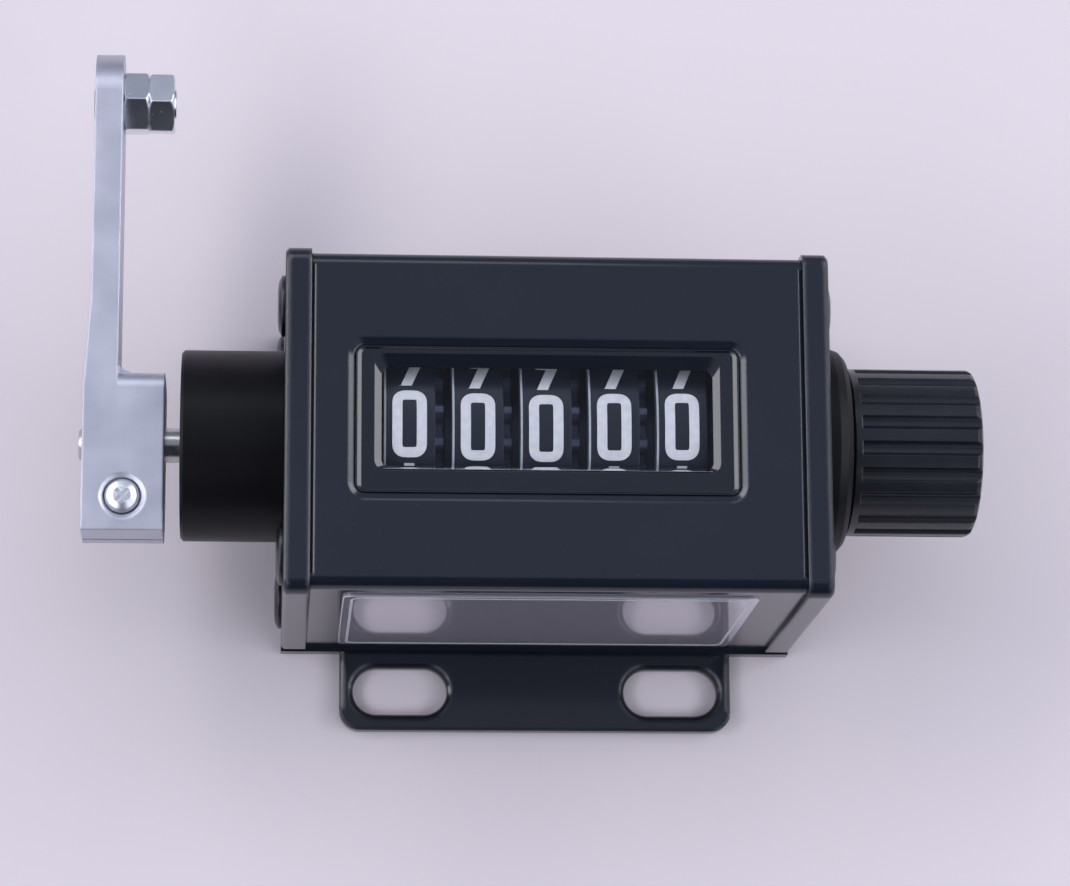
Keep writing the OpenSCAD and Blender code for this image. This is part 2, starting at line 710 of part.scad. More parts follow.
module lever() {
    z0 = axle_z - lever_d / 2;
    tip_r = lever_d / 2;
    arm_x = hub_x + arm_inset;
    color([0.62, 0.66, 0.72]) difference() {
        union() {
            translate([hub_x, jaw_r - hub_down, z0]) cube([hub_w, hub_down + hub_up - 2 - jaw_r, lever_d]);
            translate([hub_x, -hub_down, z0 + jaw_r]) cube([hub_w, hub_down, lever_d - jaw_r]);
            along_x(hub_x, jaw_r - hub_down, z0 + jaw_r) cylinder(h = hub_w, r = jaw_r);
            translate([hub_x, 0, z0 + 2]) cube([hub_w, hub_up, lever_d - 4]);
            for (z = [z0 + 2, z0 + lever_d - 2])
                along_x(hub_x, hub_up - 2, z) cylinder(h = hub_w, r = 2);
            translate([arm_x, 0, z0]) cube([arm_t, arm_l, lever_d]);
            translate([0, 0, z0]) linear_extrude(lever_d)
                polygon([[hub_x, hub_up - 2.2], [hub_x, hub_up - 2], [arm_x, hub_up + flare_l],
                    [arm_x + 0.1, hub_up + flare_l], [arm_x + 0.1, hub_up - 2.2]]);
            along_x(arm_x, arm_l, axle_z) cylinder(h = arm_t, r = tip_r);
            difference() {
                translate([arm_x + arm_t - 0.1, hub_up - 2.5, z0 + 1]) cube([1.6, 4, lever_d - 2]);
                translate([arm_x + arm_t + 1.5, hub_up + 1.5, z0]) cylinder(h = lever_d, r = 1.5);
            }
        }
        rod(hub_x - 0.1, hub_x + hub_w + 0.1, shaft_r + fix_gap);
        translate([hub_x - 0.1, -hub_down - 0.1, axle_z - 0.3]) cube([hub_w + 0.2, hub_down, 0.6]);
        translate([hub_x + hub_w / 2, -clamp_y, z0 - 0.1])
            cylinder(h = lever_d + 0.2, r = screw_r + run_gap);
        translate([hub_x + hub_w / 2, -clamp_y, z0 + lever_d - 1.2]) cylinder(h = 1.3, r = 2.25);
        translate([hub_x + hub_w / 2, -clamp_y, z0 + lever_d - 0.3])
            cylinder(h = 0.31, r1 = 2.25, r2 = 2.87);
        along_x(hub_x - 0.1, arm_l, axle_z)
            cylinder(h = arm_inset + arm_t + 0.2, r = stud_r + fix_gap);
    }
}

module lever_clamp_screw() {
    top = axle_z + lever_d / 2;
    color([0.72, 0.74, 0.78]) translate([hub_x + hub_w / 2, -clamp_y, top - 1.2]) difference() {
        rotate_extrude() polygon([[0, 0.2 - lever_d], [screw_r - 0.3, 0.2 - lever_d],
            [screw_r, 0.5 - lever_d], [screw_r, 0], [2.1, 0], [2.1, 1], [1.8, 1.5], [1.1, 1.8],
            [0, 1.9]]);
        cross_cut(2, 0.4, 1.4, 2);
    }
}

module lever_stud() {
    x0 = hub_x + arm_inset - 0.3;
    l = 0.3 + arm_t + 2 * nut_t + stud_out;
    color([0.72, 0.73, 0.75]) along_x(x0, arm_l, axle_z) rotate_extrude()
        polygon([[0, 0], [stud_r - 0.2, 0], [stud_r, 0.2], [stud_r, l - 0.4], [stud_r - 0.4, l], [0, l]]);
}

module stud_nuts() {
    c = nut_af / sqrt(3);
    color([0.74, 0.74, 0.76]) for (k = [0, 1])
        difference() {
            along_x(hub_x + arm_inset + arm_t + k * nut_t, arm_l, axle_z)
                rotate([0, 0, 38 + k * 4]) intersection() {
                cylinder(h = nut_t - 0.02, r = c, $fn = 6);
                rotate_extrude() polygon([[0, 0], [c - 0.45, 0], [c, 0.3], [c, nut_t - 0.32],
                    [c - 0.45, nut_t - 0.02], [0, nut_t - 0.02]]);
            }
            along_x(hub_x, arm_l, axle_z) cylinder(h = 20, r = stud_r + fix_gap);
        }
}

// Counting train
module click_spring() {
    tip = at(ratchet_r - ratchet_depth + 0.6, click_tip);
    bend = [2.3 - click_y, base_t + 0.3 - axle_z];
    dx = tip - bend;
    l = norm(dx);
    color([0.7, 0.7, 0.72]) difference() {
        union() {
            on_axis(pawl_x) translate([bend[0], bend[1], 0]) rotate([0, 0, atan2(dx[1], dx[0])])
                translate([0, -0.25, 0]) cube([l, 0.5, pawl_w]);
            translate([pawl_x + pawl_w / 2 - 1.6, -click_y - 2.1, base_t]) cube([3.2, 4.6, 0.6]);
        }
        translate([pawl_x + pawl_w / 2, -click_y, 0]) cylinder(h = 6, r = click_screw_r + run_gap);
    }
}

module click_screw() {
    r = click_screw_r;
    color([0.6, 0.6, 0.62]) translate([pawl_x + pawl_w / 2, -click_y, 0]) rotate_extrude()
        polygon([[0, 0.2], [r, 0.2], [r, base_t + 0.6], [r + 0.65, base_t + 0.6],
            [r + 0.65, base_t + 1.3], [r + 0.15, base_t + 1.6], [0, base_t + 1.6]]);
}

module wheel_axle() {
    x0 = pivot_x - pilot_l;
    color([0.75, 0.75, 0.77]) difference() {
        union() {
            rod(x0, pivot_x + 0.5, pilot_r);
            rod(pivot_x + 0.3, pivot_x + 1.3, axle_r + 1.2);
            rod(pivot_x + 0.3, axle_end, axle_r);
        }
        for (x = [ratchet_end + 0.7, yoke_right - yoke_arm_t - 1])
            difference() {
                rod(x - 0.03, x + 0.63, axle_r + 0.1);
                rod(x - 1, x + 1, axle_r - 0.4);
            }
    }
}

module axle_clips() {
    color([0.35, 0.35, 0.37]) for (x = [ratchet_end + 0.7, yoke_right - yoke_arm_t - 1])
        ring_clip(x, axle_r - 0.38, axle_r + 1.4, 0.6);
}

module axle_bush() {
    color([0.72, 0.55, 0.28]) difference() {
        union() {
            rod(inner_x, half_w, bush_r);
            rod(inner_x - bush_flange_t, inner_x, bush_flange_r);
        }
        rod(inner_x - 3, half_w + 0.1, wheel_bore);
    }
}

module reset_collar() {
    color([0.05, 0.05, 0.055]) difference() {
        on_axis(collar_x) rotate_extrude() polygon([[axle_r + 1, 0], [collar_r, 0],
            [collar_r, collar_t * 0.5], [collar_r - 0.35, collar_t * 0.8], [collar_r - 1.1, collar_t],
            [axle_r + 1, collar_t]]);
    }
}

module reset_knob() {
    color([0.05, 0.05, 0.055]) difference() {
        on_axis(knob_x) rotate_extrude() polygon([[0, 0], [knob_r - 0.4, 0], [knob_r, 0.4],
            [knob_r, knob_l - 0.8], [knob_r - 0.25, knob_l - 0.35], [knob_r - 0.8, knob_l - 0.1],
            [knob_r - 1.8, knob_l], [0, knob_l]]);
        for (i = [0:knob_grooves - 1])
            on_axis(knob_x + 1.2) rotate([0, 0, (i + 0.5) * 360 / knob_grooves])
                translate([knob_r + 0.35, 0, 0]) cylinder(h = knob_l, r = 0.95, $fn = 24);
        rod(knob_x - 0.1, axle_end + 0.3, axle_r + fix_gap);
        translate([knob_x + 5, 0, axle_z - knob_r - 1]) cylinder(h = knob_r, r = 1.25 + fix_gap);
    }
}

module knob_grub_screw() {
    color([0.3, 0.3, 0.32]) translate([knob_x + 5, 0, axle_z - knob_r + 1.6]) difference() {
        cylinder(h = knob_r - 1.6 - axle_r - 0.02, r = 1.25);
        translate([0, 0, -0.1]) cylinder(h = 1.3, r = 0.6, $fn = 6);
    }
}

module wheel_10000() {
    counting_wheel(0, false);
}

module wheel_1000() {
    counting_wheel(1, true);
}

module wheel_100() {
    counting_wheel(2, true);
}

module wheel_10() {
    counting_wheel(3, true);
}

module wheel_1() {
    root = ratchet_r - ratchet_depth;
    color([0.05, 0.05, 0.055]) drum(units_x, true) {
        on_axis(ratchet_x - 0.5) linear_extrude(ratchet_w + 0.5)
            polygon([for (i = [0:9]) let (a = ratchet_phase + i * 36) each [at(ratchet_r, a),
                at(root, a + 0.6), at(root + 0.55 * ratchet_depth, a + 18)]]);
        rod(units_x, ratchet_end + 0.3, hub_r);
    }
}

module pinion_axle() {
    color([0.75, 0.75, 0.77]) along_x(-half_w + 1.1, 0, pinion_z)
        cylinder(h = body_w - 2.2, r = pin_axle_r);
}

module pinion_10000() {
    carry_pinion(0);
}

module pinion_1000() {
    carry_pinion(1);
}

module pinion_100() {
    carry_pinion(2);
}

module pinion_10() {
    carry_pinion(3);
}

base_plate();
base_screws();
case_cover();
left_end_plate();
right_end_plate();
left_plate_screws();
right_plate_screws();
tie_posts();
window_frame();
window_lens();
drive_housing();
housing_screws();
outer_bush();
inner_bush();
return_spring();
drive_shaft();
spring_collar();
shaft_clip();
drive_yoke();
yoke_pin();
drive_pawl();
lever();
lever_clamp_screw();
lever_stud();
stud_nuts();
click_spring();
click_screw();
wheel_axle();
axle_clips();
axle_bush();
reset_collar();
reset_knob();
knob_grub_screw();
wheel_10000();
wheel_1000();
wheel_100();
wheel_10();
wheel_1();
pinion_axle();
pinion_10000();
pinion_1000();
pinion_100();
pinion_10();
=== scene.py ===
"""Looks and studio for a five digit lever counter.

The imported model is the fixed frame. This script gives each solid its finish, adds the printed
digits, the bare name plate and the wound return spring, and sets the light, floor and camera.
Sizes in the classes are millimetres in the part's frame, and meshes are made in metres.
"""

from __future__ import annotations

import logging
from collections.abc import Sequence
from dataclasses import dataclass
from enum import Enum

import bpy
import numpy as np
from mathutils import Matrix

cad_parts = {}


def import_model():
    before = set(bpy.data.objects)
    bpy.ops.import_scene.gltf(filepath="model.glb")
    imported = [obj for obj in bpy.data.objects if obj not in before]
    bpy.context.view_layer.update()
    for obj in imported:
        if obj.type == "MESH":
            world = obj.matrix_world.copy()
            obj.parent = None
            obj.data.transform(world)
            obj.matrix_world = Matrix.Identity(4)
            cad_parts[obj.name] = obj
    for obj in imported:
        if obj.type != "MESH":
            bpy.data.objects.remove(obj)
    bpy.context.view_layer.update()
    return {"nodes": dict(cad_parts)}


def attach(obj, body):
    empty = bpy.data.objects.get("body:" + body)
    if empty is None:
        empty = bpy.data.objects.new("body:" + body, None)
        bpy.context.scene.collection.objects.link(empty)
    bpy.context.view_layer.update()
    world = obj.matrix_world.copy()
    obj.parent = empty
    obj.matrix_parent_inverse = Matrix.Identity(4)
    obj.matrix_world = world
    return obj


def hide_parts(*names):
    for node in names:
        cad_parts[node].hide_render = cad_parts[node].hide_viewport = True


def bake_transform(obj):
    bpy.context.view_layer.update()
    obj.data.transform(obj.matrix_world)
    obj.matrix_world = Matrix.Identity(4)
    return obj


MM = 0.001
IMAGE_WIDTH = 1070
SENSOR_WIDTH = 36.0
AXLE_Z = 27.4
LEVER_TIP_Y = 43.4
LOG = logging.getLogger("lever_counter")

# Sockets of the Mix node: two colours and their mix, two vectors and theirs
COLOUR_A, COLOUR_B, MIXED_COLOUR = 6, 7, 2
VECTOR_A, VECTOR_B, MIXED_VECTOR = 4, 5, 1
BEVEL_SAMPLES = 6
EDGE_GAIN = 4.0
CURVE_POINTS = 9
TINY = 1e-9

Colour = tuple[float, float, float]
Triple = tuple[float, float, float]
Pair = tuple[float, float]


class Value:
    """A number socket whose arithmetic adds Math nodes to its tree."""

    def __init__(self, tree: bpy.types.NodeTree, socket: bpy.types.NodeSocket) -> None:
        """Keeps the tree and the socket."""
        self.tree = tree
        self.socket = socket

    def _math(self, operation: str, first: Value | float, second: Value | float) -> Value:
        """Adds one Math node.

        Args:
            operation: The node's operation.
            first: Left value or number.
            second: Right value or number.

        Returns:
            The node's result.
        """
        node = self.tree.nodes.new("ShaderNodeMath")
        node.operation = operation
        for target, source in zip(node.inputs, (first, second)):
            if isinstance(source, Value):
                self.tree.links.new(source.socket, target)
            else:
                target.default_value = source
        return Value(self.tree, node.outputs[0])

    def __add__(self, other: Value | float) -> Value:
        """Sum."""
        return self._math("ADD", self, other)

    def __radd__(self, other: float) -> Value:
        """Sum with the number first."""
        return self._math("ADD", other, self)

    def __sub__(self, other: Value | float) -> Value:
        """Difference."""
        return self._math("SUBTRACT", self, other)

    def __rsub__(self, other: float) -> Value:
        """Difference with the number first."""
        return self._math("SUBTRACT", other, self)

    def __mul__(self, other: Value | float) -> Value:
        """Product."""
        return self._math("MULTIPLY", self, other)

    def __pow__(self, other: Value | float) -> Value:
        """Power."""
        return self._math("POWER", self, other)

    def at_least(self, other: Value | float) -> Value:
        """The larger of the two."""
        return self._math("MAXIMUM", self, other)

    def at_most(self, other: Value | float) -> Value:
        """The smaller of the two."""
        return self._math("MINIMUM", self, other)

    def angle(self, other: Value) -> Value:
        """The angle whose sine goes with this value and whose cosine goes with the other."""
        return self._math("ARCTAN2", self, other)

    def folded(self, height: float) -> Value:
        """The value folded to and fro between 0 and a height."""
        return self._math("PINGPONG", self, height)

    def held(self) -> Value:
        """The value held between 0 and 1."""
        return self.at_least(0.0).at_most(1.0)

    def above(self, start: float, gain: float) -> Value:
        """How far the value is above a start, times a gain, held between 0 and 1."""
        return ((self - start) * gain).held()

    def swing(self, span: float) -> Value:
        """The value between 0 and 1 made into a swing of a span about nought."""
        return (self - 0.5) * span

    def ramp(self, start: float, end: float) -> Value:
        """Runs from 0 at one value to 1 at another, and stays there."""
        return self.above(start, 1.0 / (end - start))


Source = Value | bpy.types.NodeSocket | float | int | tuple | str


class Nodes:
    """A node tree, filled by one method, with its colours blended in one way."""

    def __init__(self, tree: bpy.types.NodeTree) -> None:
        """Empties the tree.

        Args:
            tree: The tree to fill.
        """
        self.tree = tree
        self.tree.nodes.clear()

    def add(
        self,
        kind: str,
        settings: dict[str, object] | None = None,
        sockets: dict[str | int, Source] | None = None,
    ) -> bpy.types.Node:
        """Adds one node, sets it up and feeds its sockets.

        Args:
            kind: The node's type.
            settings: Its properties, set first.
            sockets: Values or links by input name or number.

        Returns:
            The node.
        """
        node = self.tree.nodes.new(kind)
        for key, value in (settings or {}).items():
            setattr(node, key, value)
        for key, value in (sockets or {}).items():
            target = node.inputs[key]
            if isinstance(value, Value):
                self.tree.links.new(value.socket, target)
            elif isinstance(value, bpy.types.NodeSocket):
                self.tree.links.new(value, target)
            else:
                target.default_value = value
        return node

    def number(self, socket: bpy.types.NodeSocket) -> Value:
        """Wraps a socket for arithmetic."""
        return Value(self.tree, socket)

    def blend(self, share: Value, low: Colour, high: Colour) -> bpy.types.NodeSocket:
        """A colour between two.

        Args:
            share: 0 for the low colour, 1 for the high one.
            low: The one colour.
            high: The other colour.

        Returns:
            The colour.
        """
        node = self.add(
            "ShaderNodeMix",
            {"data_type": "RGBA"},
            {"Factor": share, COLOUR_A: (*low, 1.0), COLOUR_B: (*high, 1.0)},
        )
        return node.outputs[MIXED_COLOUR]

    def shades(self, share: Value, tint: Colour, down: float, up: float) -> bpy.types.NodeSocket:
        """A colour between two shades of a tint.

        Args:
            share: 0 for the darker shade, 1 for the lighter one.
            tint: The tint.
            down: How far the darker shade goes toward black.
            up: How far the lighter shade goes toward white.

        Returns:
            The colour.
        """
        return self.blend(share, darker(tint, down), lighter(tint, up))


class FinishTree(Nodes):
    """The node tree of one material and the few nodes that the finishes share."""

    def __init__(self, name: str) -> None:
        """Starts an empty material.

        Args:
            name: The material's name.
        """
        self.material = bpy.data.materials.new(name)
        self.material.use_nodes = True
        super().__init__(self.material.node_tree)

    def places(self, stretch: Triple = (1.0, 1.0, 1.0)) -> bpy.types.NodeSocket:
        """Object coordinates, stretched.

        Args:
            stretch: Factors along the three axes.

        Returns:
            The vector socket.
        """
        coords = self.add("ShaderNodeTexCoord").outputs["Object"]
        return self.add(
            "ShaderNodeMapping", {}, {"Vector": coords, "Scale": stretch}
        ).outputs["Vector"]

    def noise(
        self, per_metre: float, detail: float = 2.0, stretch: Triple = (1.0, 1.0, 1.0)
    ) -> Value:
        """Soft noise between 0 and 1.

        Args:
            per_metre: Noise cells in a metre.
            detail: Octaves.
            stretch: Factors along the three axes.

        Returns:
            The noise.
        """
        node = self.add(
            "ShaderNodeTexNoise",
            {},
            {"Vector": self.places(stretch), "Scale": per_metre, "Detail": detail},
        )
        return self.number(node.outputs["Fac"])

    def axes(self) -> list[Value]:
        """Object coordinates in millimetres, one value for each axis."""
        split = self.add("ShaderNodeSeparateXYZ", {}, {0: self.places((1.0 / MM,) * 3)})
        return [self.number(out) for out in split.outputs]

    def either(
        self, share: Value, low: bpy.types.NodeSocket, high: bpy.types.NodeSocket
    ) -> bpy.types.NodeSocket:
        """A normal between two.

        Args:
            share: 0 for the low one, 1 for the high one.
            low: The one normal.
            high: The other normal.

        Returns:
            The normal.
        """
        node = self.add(
            "ShaderNodeMix",
            {"data_type": "VECTOR"},
            {"Factor": share, VECTOR_A: low, VECTOR_B: high},
        )
        return node.outputs[MIXED_VECTOR]

    def rounded(self, radius_mm: float) -> bpy.types.NodeSocket:
        """The normal with edges rounded to a small radius.

        Args:
            radius_mm: The radius.

        Returns:
            The normal.
        """
        return self.add(
            "ShaderNodeBevel", {"samples": BEVEL_SAMPLES}, {"Radius": radius_mm * MM}
        ).outputs["Normal"]

    def edges(self, normal: bpy.types.NodeSocket) -> Value:
        """A mask of edges: where the rounded normal leaves the face's own.

        Args:
            normal: The rounded normal.

        Returns:
            0 on faces, 1 on sharp edges.
        """
        plain = self.add("ShaderNodeNewGeometry").outputs["Normal"]
        dot = self.add("ShaderNodeVectorMath", {"operation": "DOT_PRODUCT"}, {0: plain, 1: normal})
        return ((1.0 - self.number(dot.outputs["Value"])) * EDGE_GAIN).held()

    def bumped(
        self, height: Value, depth_mm: float, normal: bpy.types.NodeSocket, strength: float = 1.0
    ) -> bpy.types.NodeSocket:
        """A normal disturbed by a height.

        Args:
            height: The height between 0 and 1.
            depth_mm: What a height of 1 stands for.
            normal: The normal to disturb.
            strength: How much of it shows.

        Returns:
            The normal.
        """
        return self.add(
            "ShaderNodeBump",
            {},
            {"Height": height, "Distance": depth_mm * MM, "Strength": strength, "Normal": normal},
        ).outputs["Normal"]

    def close(self, sockets: dict[str | int, Source]) -> bpy.types.Material:
        """Ends the tree in one principled surface.

        Args:
            sockets: What feeds it.

        Returns:
            The material.
        """
        surface = self.add("ShaderNodeBsdfPrincipled", {}, sockets)
        self.add("ShaderNodeOutputMaterial", {}, {"Surface": surface.outputs[0]})
        return self.material


def lighter(colour: Colour, share: float) -> Colour:
    """The colour moved toward white by a share."""
    return tuple(c + (1.0 - c) * share for c in colour)


def darker(colour: Colour, share: float) -> Colour:
    """The colour moved toward black by a share."""
    return tuple(c * (1.0 - share) for c in colour)


@dataclass(frozen=True)
class Enamel:
    """Gloss stove enamel on sheet: faint orange peel, soft edges, thin paint on the edges."""

    name: str = "gloss_black_enamel"
    tint: Colour = (0.0065, 0.0095, 0.0170)
    gloss: float = 0.13
    edge_mm: float = 0.40
    peel_mm: float = 0.004
    tab_mm: float = 0.0
    tab_fade: Pair = (-21.1, -21.3)

    def material(self) -> bpy.types.Material:
        """Makes the material, with softer edges on the tab beyond the near side."""
        t = FinishTree(self.name)
        soft = t.rounded(self.edge_mm)
        if self.tab_mm:
            on_tab = t.axes()[1].ramp(*self.tab_fade)
            soft = t.either(on_tab, soft, t.rounded(self.tab_mm))
        clouds = t.noise(per_metre=55.0, detail=3.0)
        dust = t.noise(per_metre=2600.0, detail=1.0)
        peel = t.noise(per_metre=620.0, detail=2.0)
        specks = dust.above(0.70, gain=9.0)
        worn = t.edges(soft) * 0.30 + specks * 0.06
        return t.close(
            {
                "Base Color": t.blend(
                    (worn + clouds.swing(0.10)).held(),
                    self.tint,
                    lighter(self.tint, 0.10),
                ),
                "Roughness": self.gloss + clouds.swing(0.07) + specks * 0.12,
                "Normal": t.bumped(peel, self.peel_mm, soft, strength=0.5),
                "IOR": 1.52,
            }
        )


@dataclass(frozen=True)
class Moulded:
    """Moulded plastic: fine grain, rounded edges, slightly paler where it was handled."""

    name: str = "satin_black_plastic"
    tint: Colour = (0.0035, 0.0034, 0.0045)
    gloss: float = 0.36
    edge_mm: float = 0.25
    grain_mm: float = 0.012
    rub: float = 0.010
    shine: float = 0.25

    def material(self) -> bpy.types.Material:
        """Makes the material."""
        t = FinishTree(self.name)
        soft = t.rounded(self.edge_mm)
        flow = t.noise(per_metre=120.0, detail=3.0)
        grain = t.noise(per_metre=4200.0, detail=1.0)
        rubbed = t.edges(soft)
        return t.close(
            {
                "Base Color": t.blend(
                    (rubbed * 0.5 + flow.swing(0.4) + 0.2).held(),
                    self.tint,
                    lighter(self.tint, self.rub),
                ),
                "Roughness": self.gloss + flow.swing(0.12) - rubbed * 0.06,
                "Normal": t.bumped(grain, self.grain_mm, soft, strength=0.35),
                "IOR": 1.49,
                "Specular IOR Level": self.shine,
            }
        )


@dataclass(frozen=True)
class Drum:
    """Moulded number wheel: dark round the band, with painted light further in: the teeth are
    coloured paler to lift the shade in the recess between the bands.
    """

    name: str = "number_wheel_plastic"
    tint: Colour = (0.0085, 0.0105, 0.0190)
    # Paler colour of the teeth: painted light that stands in for light reaching their shaded
    # recess.
    teeth_painted_light: Colour = (0.090, 0.100, 0.145)
    shine: float = 0.35
    gloss: float = 0.36
    radius_mm: float = 14.0
    fade_mm: float = 0.4

    def material(self) -> bpy.types.Material:
        """Makes the material, painted paler toward the axle as painted light on the shaded teeth.
        """
        t = FinishTree(self.name)
        _, y, z = t.axes()
        up = z - AXLE_Z
        out = (y * y + up * up) ** 0.5
        # Painted light: inside the band's radius the colour turns to the paler teeth tone, lifting
        # the shade there.
        inner = out.ramp(self.radius_mm, self.radius_mm - self.fade_mm)
        soft = t.rounded(radius_mm=0.28)
        flow = t.noise(per_metre=120.0, detail=3.0)
        grain = t.noise(per_metre=4200.0, detail=1.0)
        return t.close(
            {
                "Base Color": t.blend((inner + flow.swing(0.05)).held(), self.tint, self.teeth_painted_light),
                "Roughness": self.gloss + flow.swing(0.12),
                "Normal": t.bumped(grain, depth_mm=0.006, normal=soft, strength=0.35),
                "IOR": 1.49,
                "Specular IOR Level": self.shine,
            }
        )


@dataclass(frozen=True)
class Foil:
    """Bright foil under clear lacquer: part mirror, part pale ground."""

    name: str = "name_plate_foil"
    tint: Colour = (0.62, 0.59, 0.66)
    gloss: float = 0.07
    metal: float = 0.65

    def material(self) -> bpy.types.Material:
        """Makes the material."""
        t = FinishTree(self.name)
        clouds = t.noise(per_metre=90.0, detail=2.0)
        ripple = t.noise(per_metre=400.0, detail=1.0)
        soft = t.rounded(radius_mm=0.08)
        return t.close(
            {
                "Base Color": t.shades(clouds, self.tint, down=0.05, up=0.04),
                "Metallic": self.metal,
                "Roughness": self.gloss + clouds.swing(0.04),
                "Normal": t.bumped(ripple, depth_mm=0.0005, normal=soft, strength=0.3),
            }
        )


@dataclass(frozen=True)
class Plated:
    """Bright zinc plate on cut strip: bluish, mottled, with faint rolling lines along Y."""

    name: str = "bright_zinc_plate"
    tint: Colour = (0.545, 0.555, 0.635)
    gloss: float = 0.44
    edge_mm: float = 0.35
    line_mm: float = 0.006

    def material(self) -> bpy.types.Material:
        """Makes the material."""
        t = FinishTree(self.name)
        soft = t.rounded(self.edge_mm)
        patches = t.noise(per_metre=140.0, detail=4.0)
        lines = t.noise(per_metre=900.0, detail=2.0, stretch=(1.0, 0.045, 1.0))
        pits = t.noise(per_metre=1500.0, detail=2.0).above(0.66, gain=7.0)
        shade = patches.above(0.34, gain=2.2) * 0.75 + lines * 0.25
        return t.close(
            {
                "Base Color": t.shades(
                    (shade - pits * 0.35).held(), self.tint, down=0.13, up=0.15
                ),
                "Metallic": 1.0,
                "Roughness": self.gloss + patches.swing(0.18) + pits * 0.15,
                "Normal": t.bumped(lines + pits * -0.6, self.line_mm, soft, strength=0.5),
            }
        )


@dataclass(frozen=True)
class Turned:
    """Turned or drawn metal: fine rings along X, a little staining, rounded edges."""

    name: str = "turned_steel"
    tint: Colour = (0.58, 0.57, 0.56)
    gloss: float = 0.22
    edge_mm: float = 0.18
    ring_mm: float = 0.005

    def material(self) -> bpy.types.Material:
        """Makes the material."""
        t = FinishTree(self.name)
        soft = t.rounded(self.edge_mm)
        rings = t.noise(per_metre=2600.0, detail=1.0, stretch=(1.0, 0.02, 0.02))
        stain = t.noise(per_metre=260.0, detail=3.0)
        return t.close(
            {
                "Base Color": t.shades(
                    stain.above(0.3, gain=1.6), self.tint, down=0.18, up=0.12
                ),
                "Metallic": 1.0,
                "Roughness": self.gloss + stain.swing(0.14) + rings * 0.06,
                "Normal": t.bumped(rings, self.ring_mm, soft, strength=0.6),
            }
        )


@dataclass(frozen=True)
class Threaded:
    """Rolled thread on a rod along X: a helix shown as relief, with painted shade darkening the
    roots and the crests painted lighter.
    """

    name: str = "threaded_stud"
    tint: Colour = (0.60, 0.61, 0.63)
    pitch_mm: float = 0.7
    depth_mm: float = 0.18

    def material(self) -> bpy.types.Material:
        """Makes the material.

        The height is a rounded saw over x / pitch + angle / turn, the angle taken about the
        rod's own middle line.
        """
        t = FinishTree(self.name)
        x, y, z = t.axes()
        turn = (z - AXLE_Z).angle(y - LEVER_TIP_Y) * (1.0 / (2.0 * np.pi))
        crest_relief_and_shade = (x * (1.0 / self.pitch_mm) + turn).folded(0.5) * 2.0
        soft = t.rounded(radius_mm=0.15)
        return t.close(
            {
                # Painted shade and highlight: the base colour is darker in the thread's roots and
                # lighter on its crests.
                "Base Color": t.shades(crest_relief_and_shade, self.tint, down=0.55, up=0.1),
                "Metallic": 1.0,
                "Roughness": 0.34 - crest_relief_and_shade * 0.1,
                "Normal": t.bumped(crest_relief_and_shade, self.depth_mm, soft, strength=0.9),
            }
        )


@dataclass(frozen=True)
class Printed:
    """Screen printed ink: slightly uneven cover, soft sheen."""

    name: str = "white_ink"
    tint: Colour = (0.62, 0.605, 0.625)
    gloss: float = 0.45

    def material(self) -> bpy.types.Material:
        """Makes the material."""
        t = FinishTree(self.name)
        cover = t.noise(per_metre=1300.0, detail=3.0)
        soft = t.rounded(radius_mm=0.06)
        return t.close(
            {
                "Base Color": t.shades(
                    cover.above(0.35, gain=1.8), self.tint, down=0.14, up=0.08
                ),
                "Roughness": self.gloss + cover.swing(0.1),
                "Normal": t.bumped(cover, depth_mm=0.006, normal=soft, strength=0.4),
            }
        )


@dataclass(frozen=True)
class ClearPane:
    """Clear moulded pane: see-through straight on, a clean gloss toward the edges."""

    name: str = "clear_pane"
    tint: Colour = (0.97, 0.98, 0.99)
    mirror: Colour = (0.8, 0.82, 0.85)
    index: float = 1.45
    gloss_share: float = 0.7

    def material(self) -> bpy.types.Material:
        """Makes the material: gloss over see-through, shared by the surface's own reflectance."""
        t = FinishTree(self.name)
        share = t.number(t.add("ShaderNodeFresnel", {}, {"IOR": self.index}).outputs[0])
        inner = t.number(t.add("ShaderNodeNewGeometry").outputs["Backfacing"])
        haze = t.noise(per_metre=70.0, detail=2.0)
        clear = t.add("ShaderNodeBsdfTransparent", {}, {"Color": (*self.tint, 1.0)})
        gloss = t.add(
            "ShaderNodeBsdfPrincipled",
            {},
            {
                "Base Color": (*self.mirror, 1.0),
                "Metallic": 1.0,
                "Roughness": 0.04 + haze * 0.05,
            },
        )
        part = share * (1.0 - inner) * self.gloss_share
        both = t.add(
            "ShaderNodeMixShader", {}, {0: part, 1: clear.outputs[0], 2: gloss.outputs[0]}
        )
        t.add("ShaderNodeOutputMaterial", {}, {"Surface": both.outputs[0]})
        return t.material


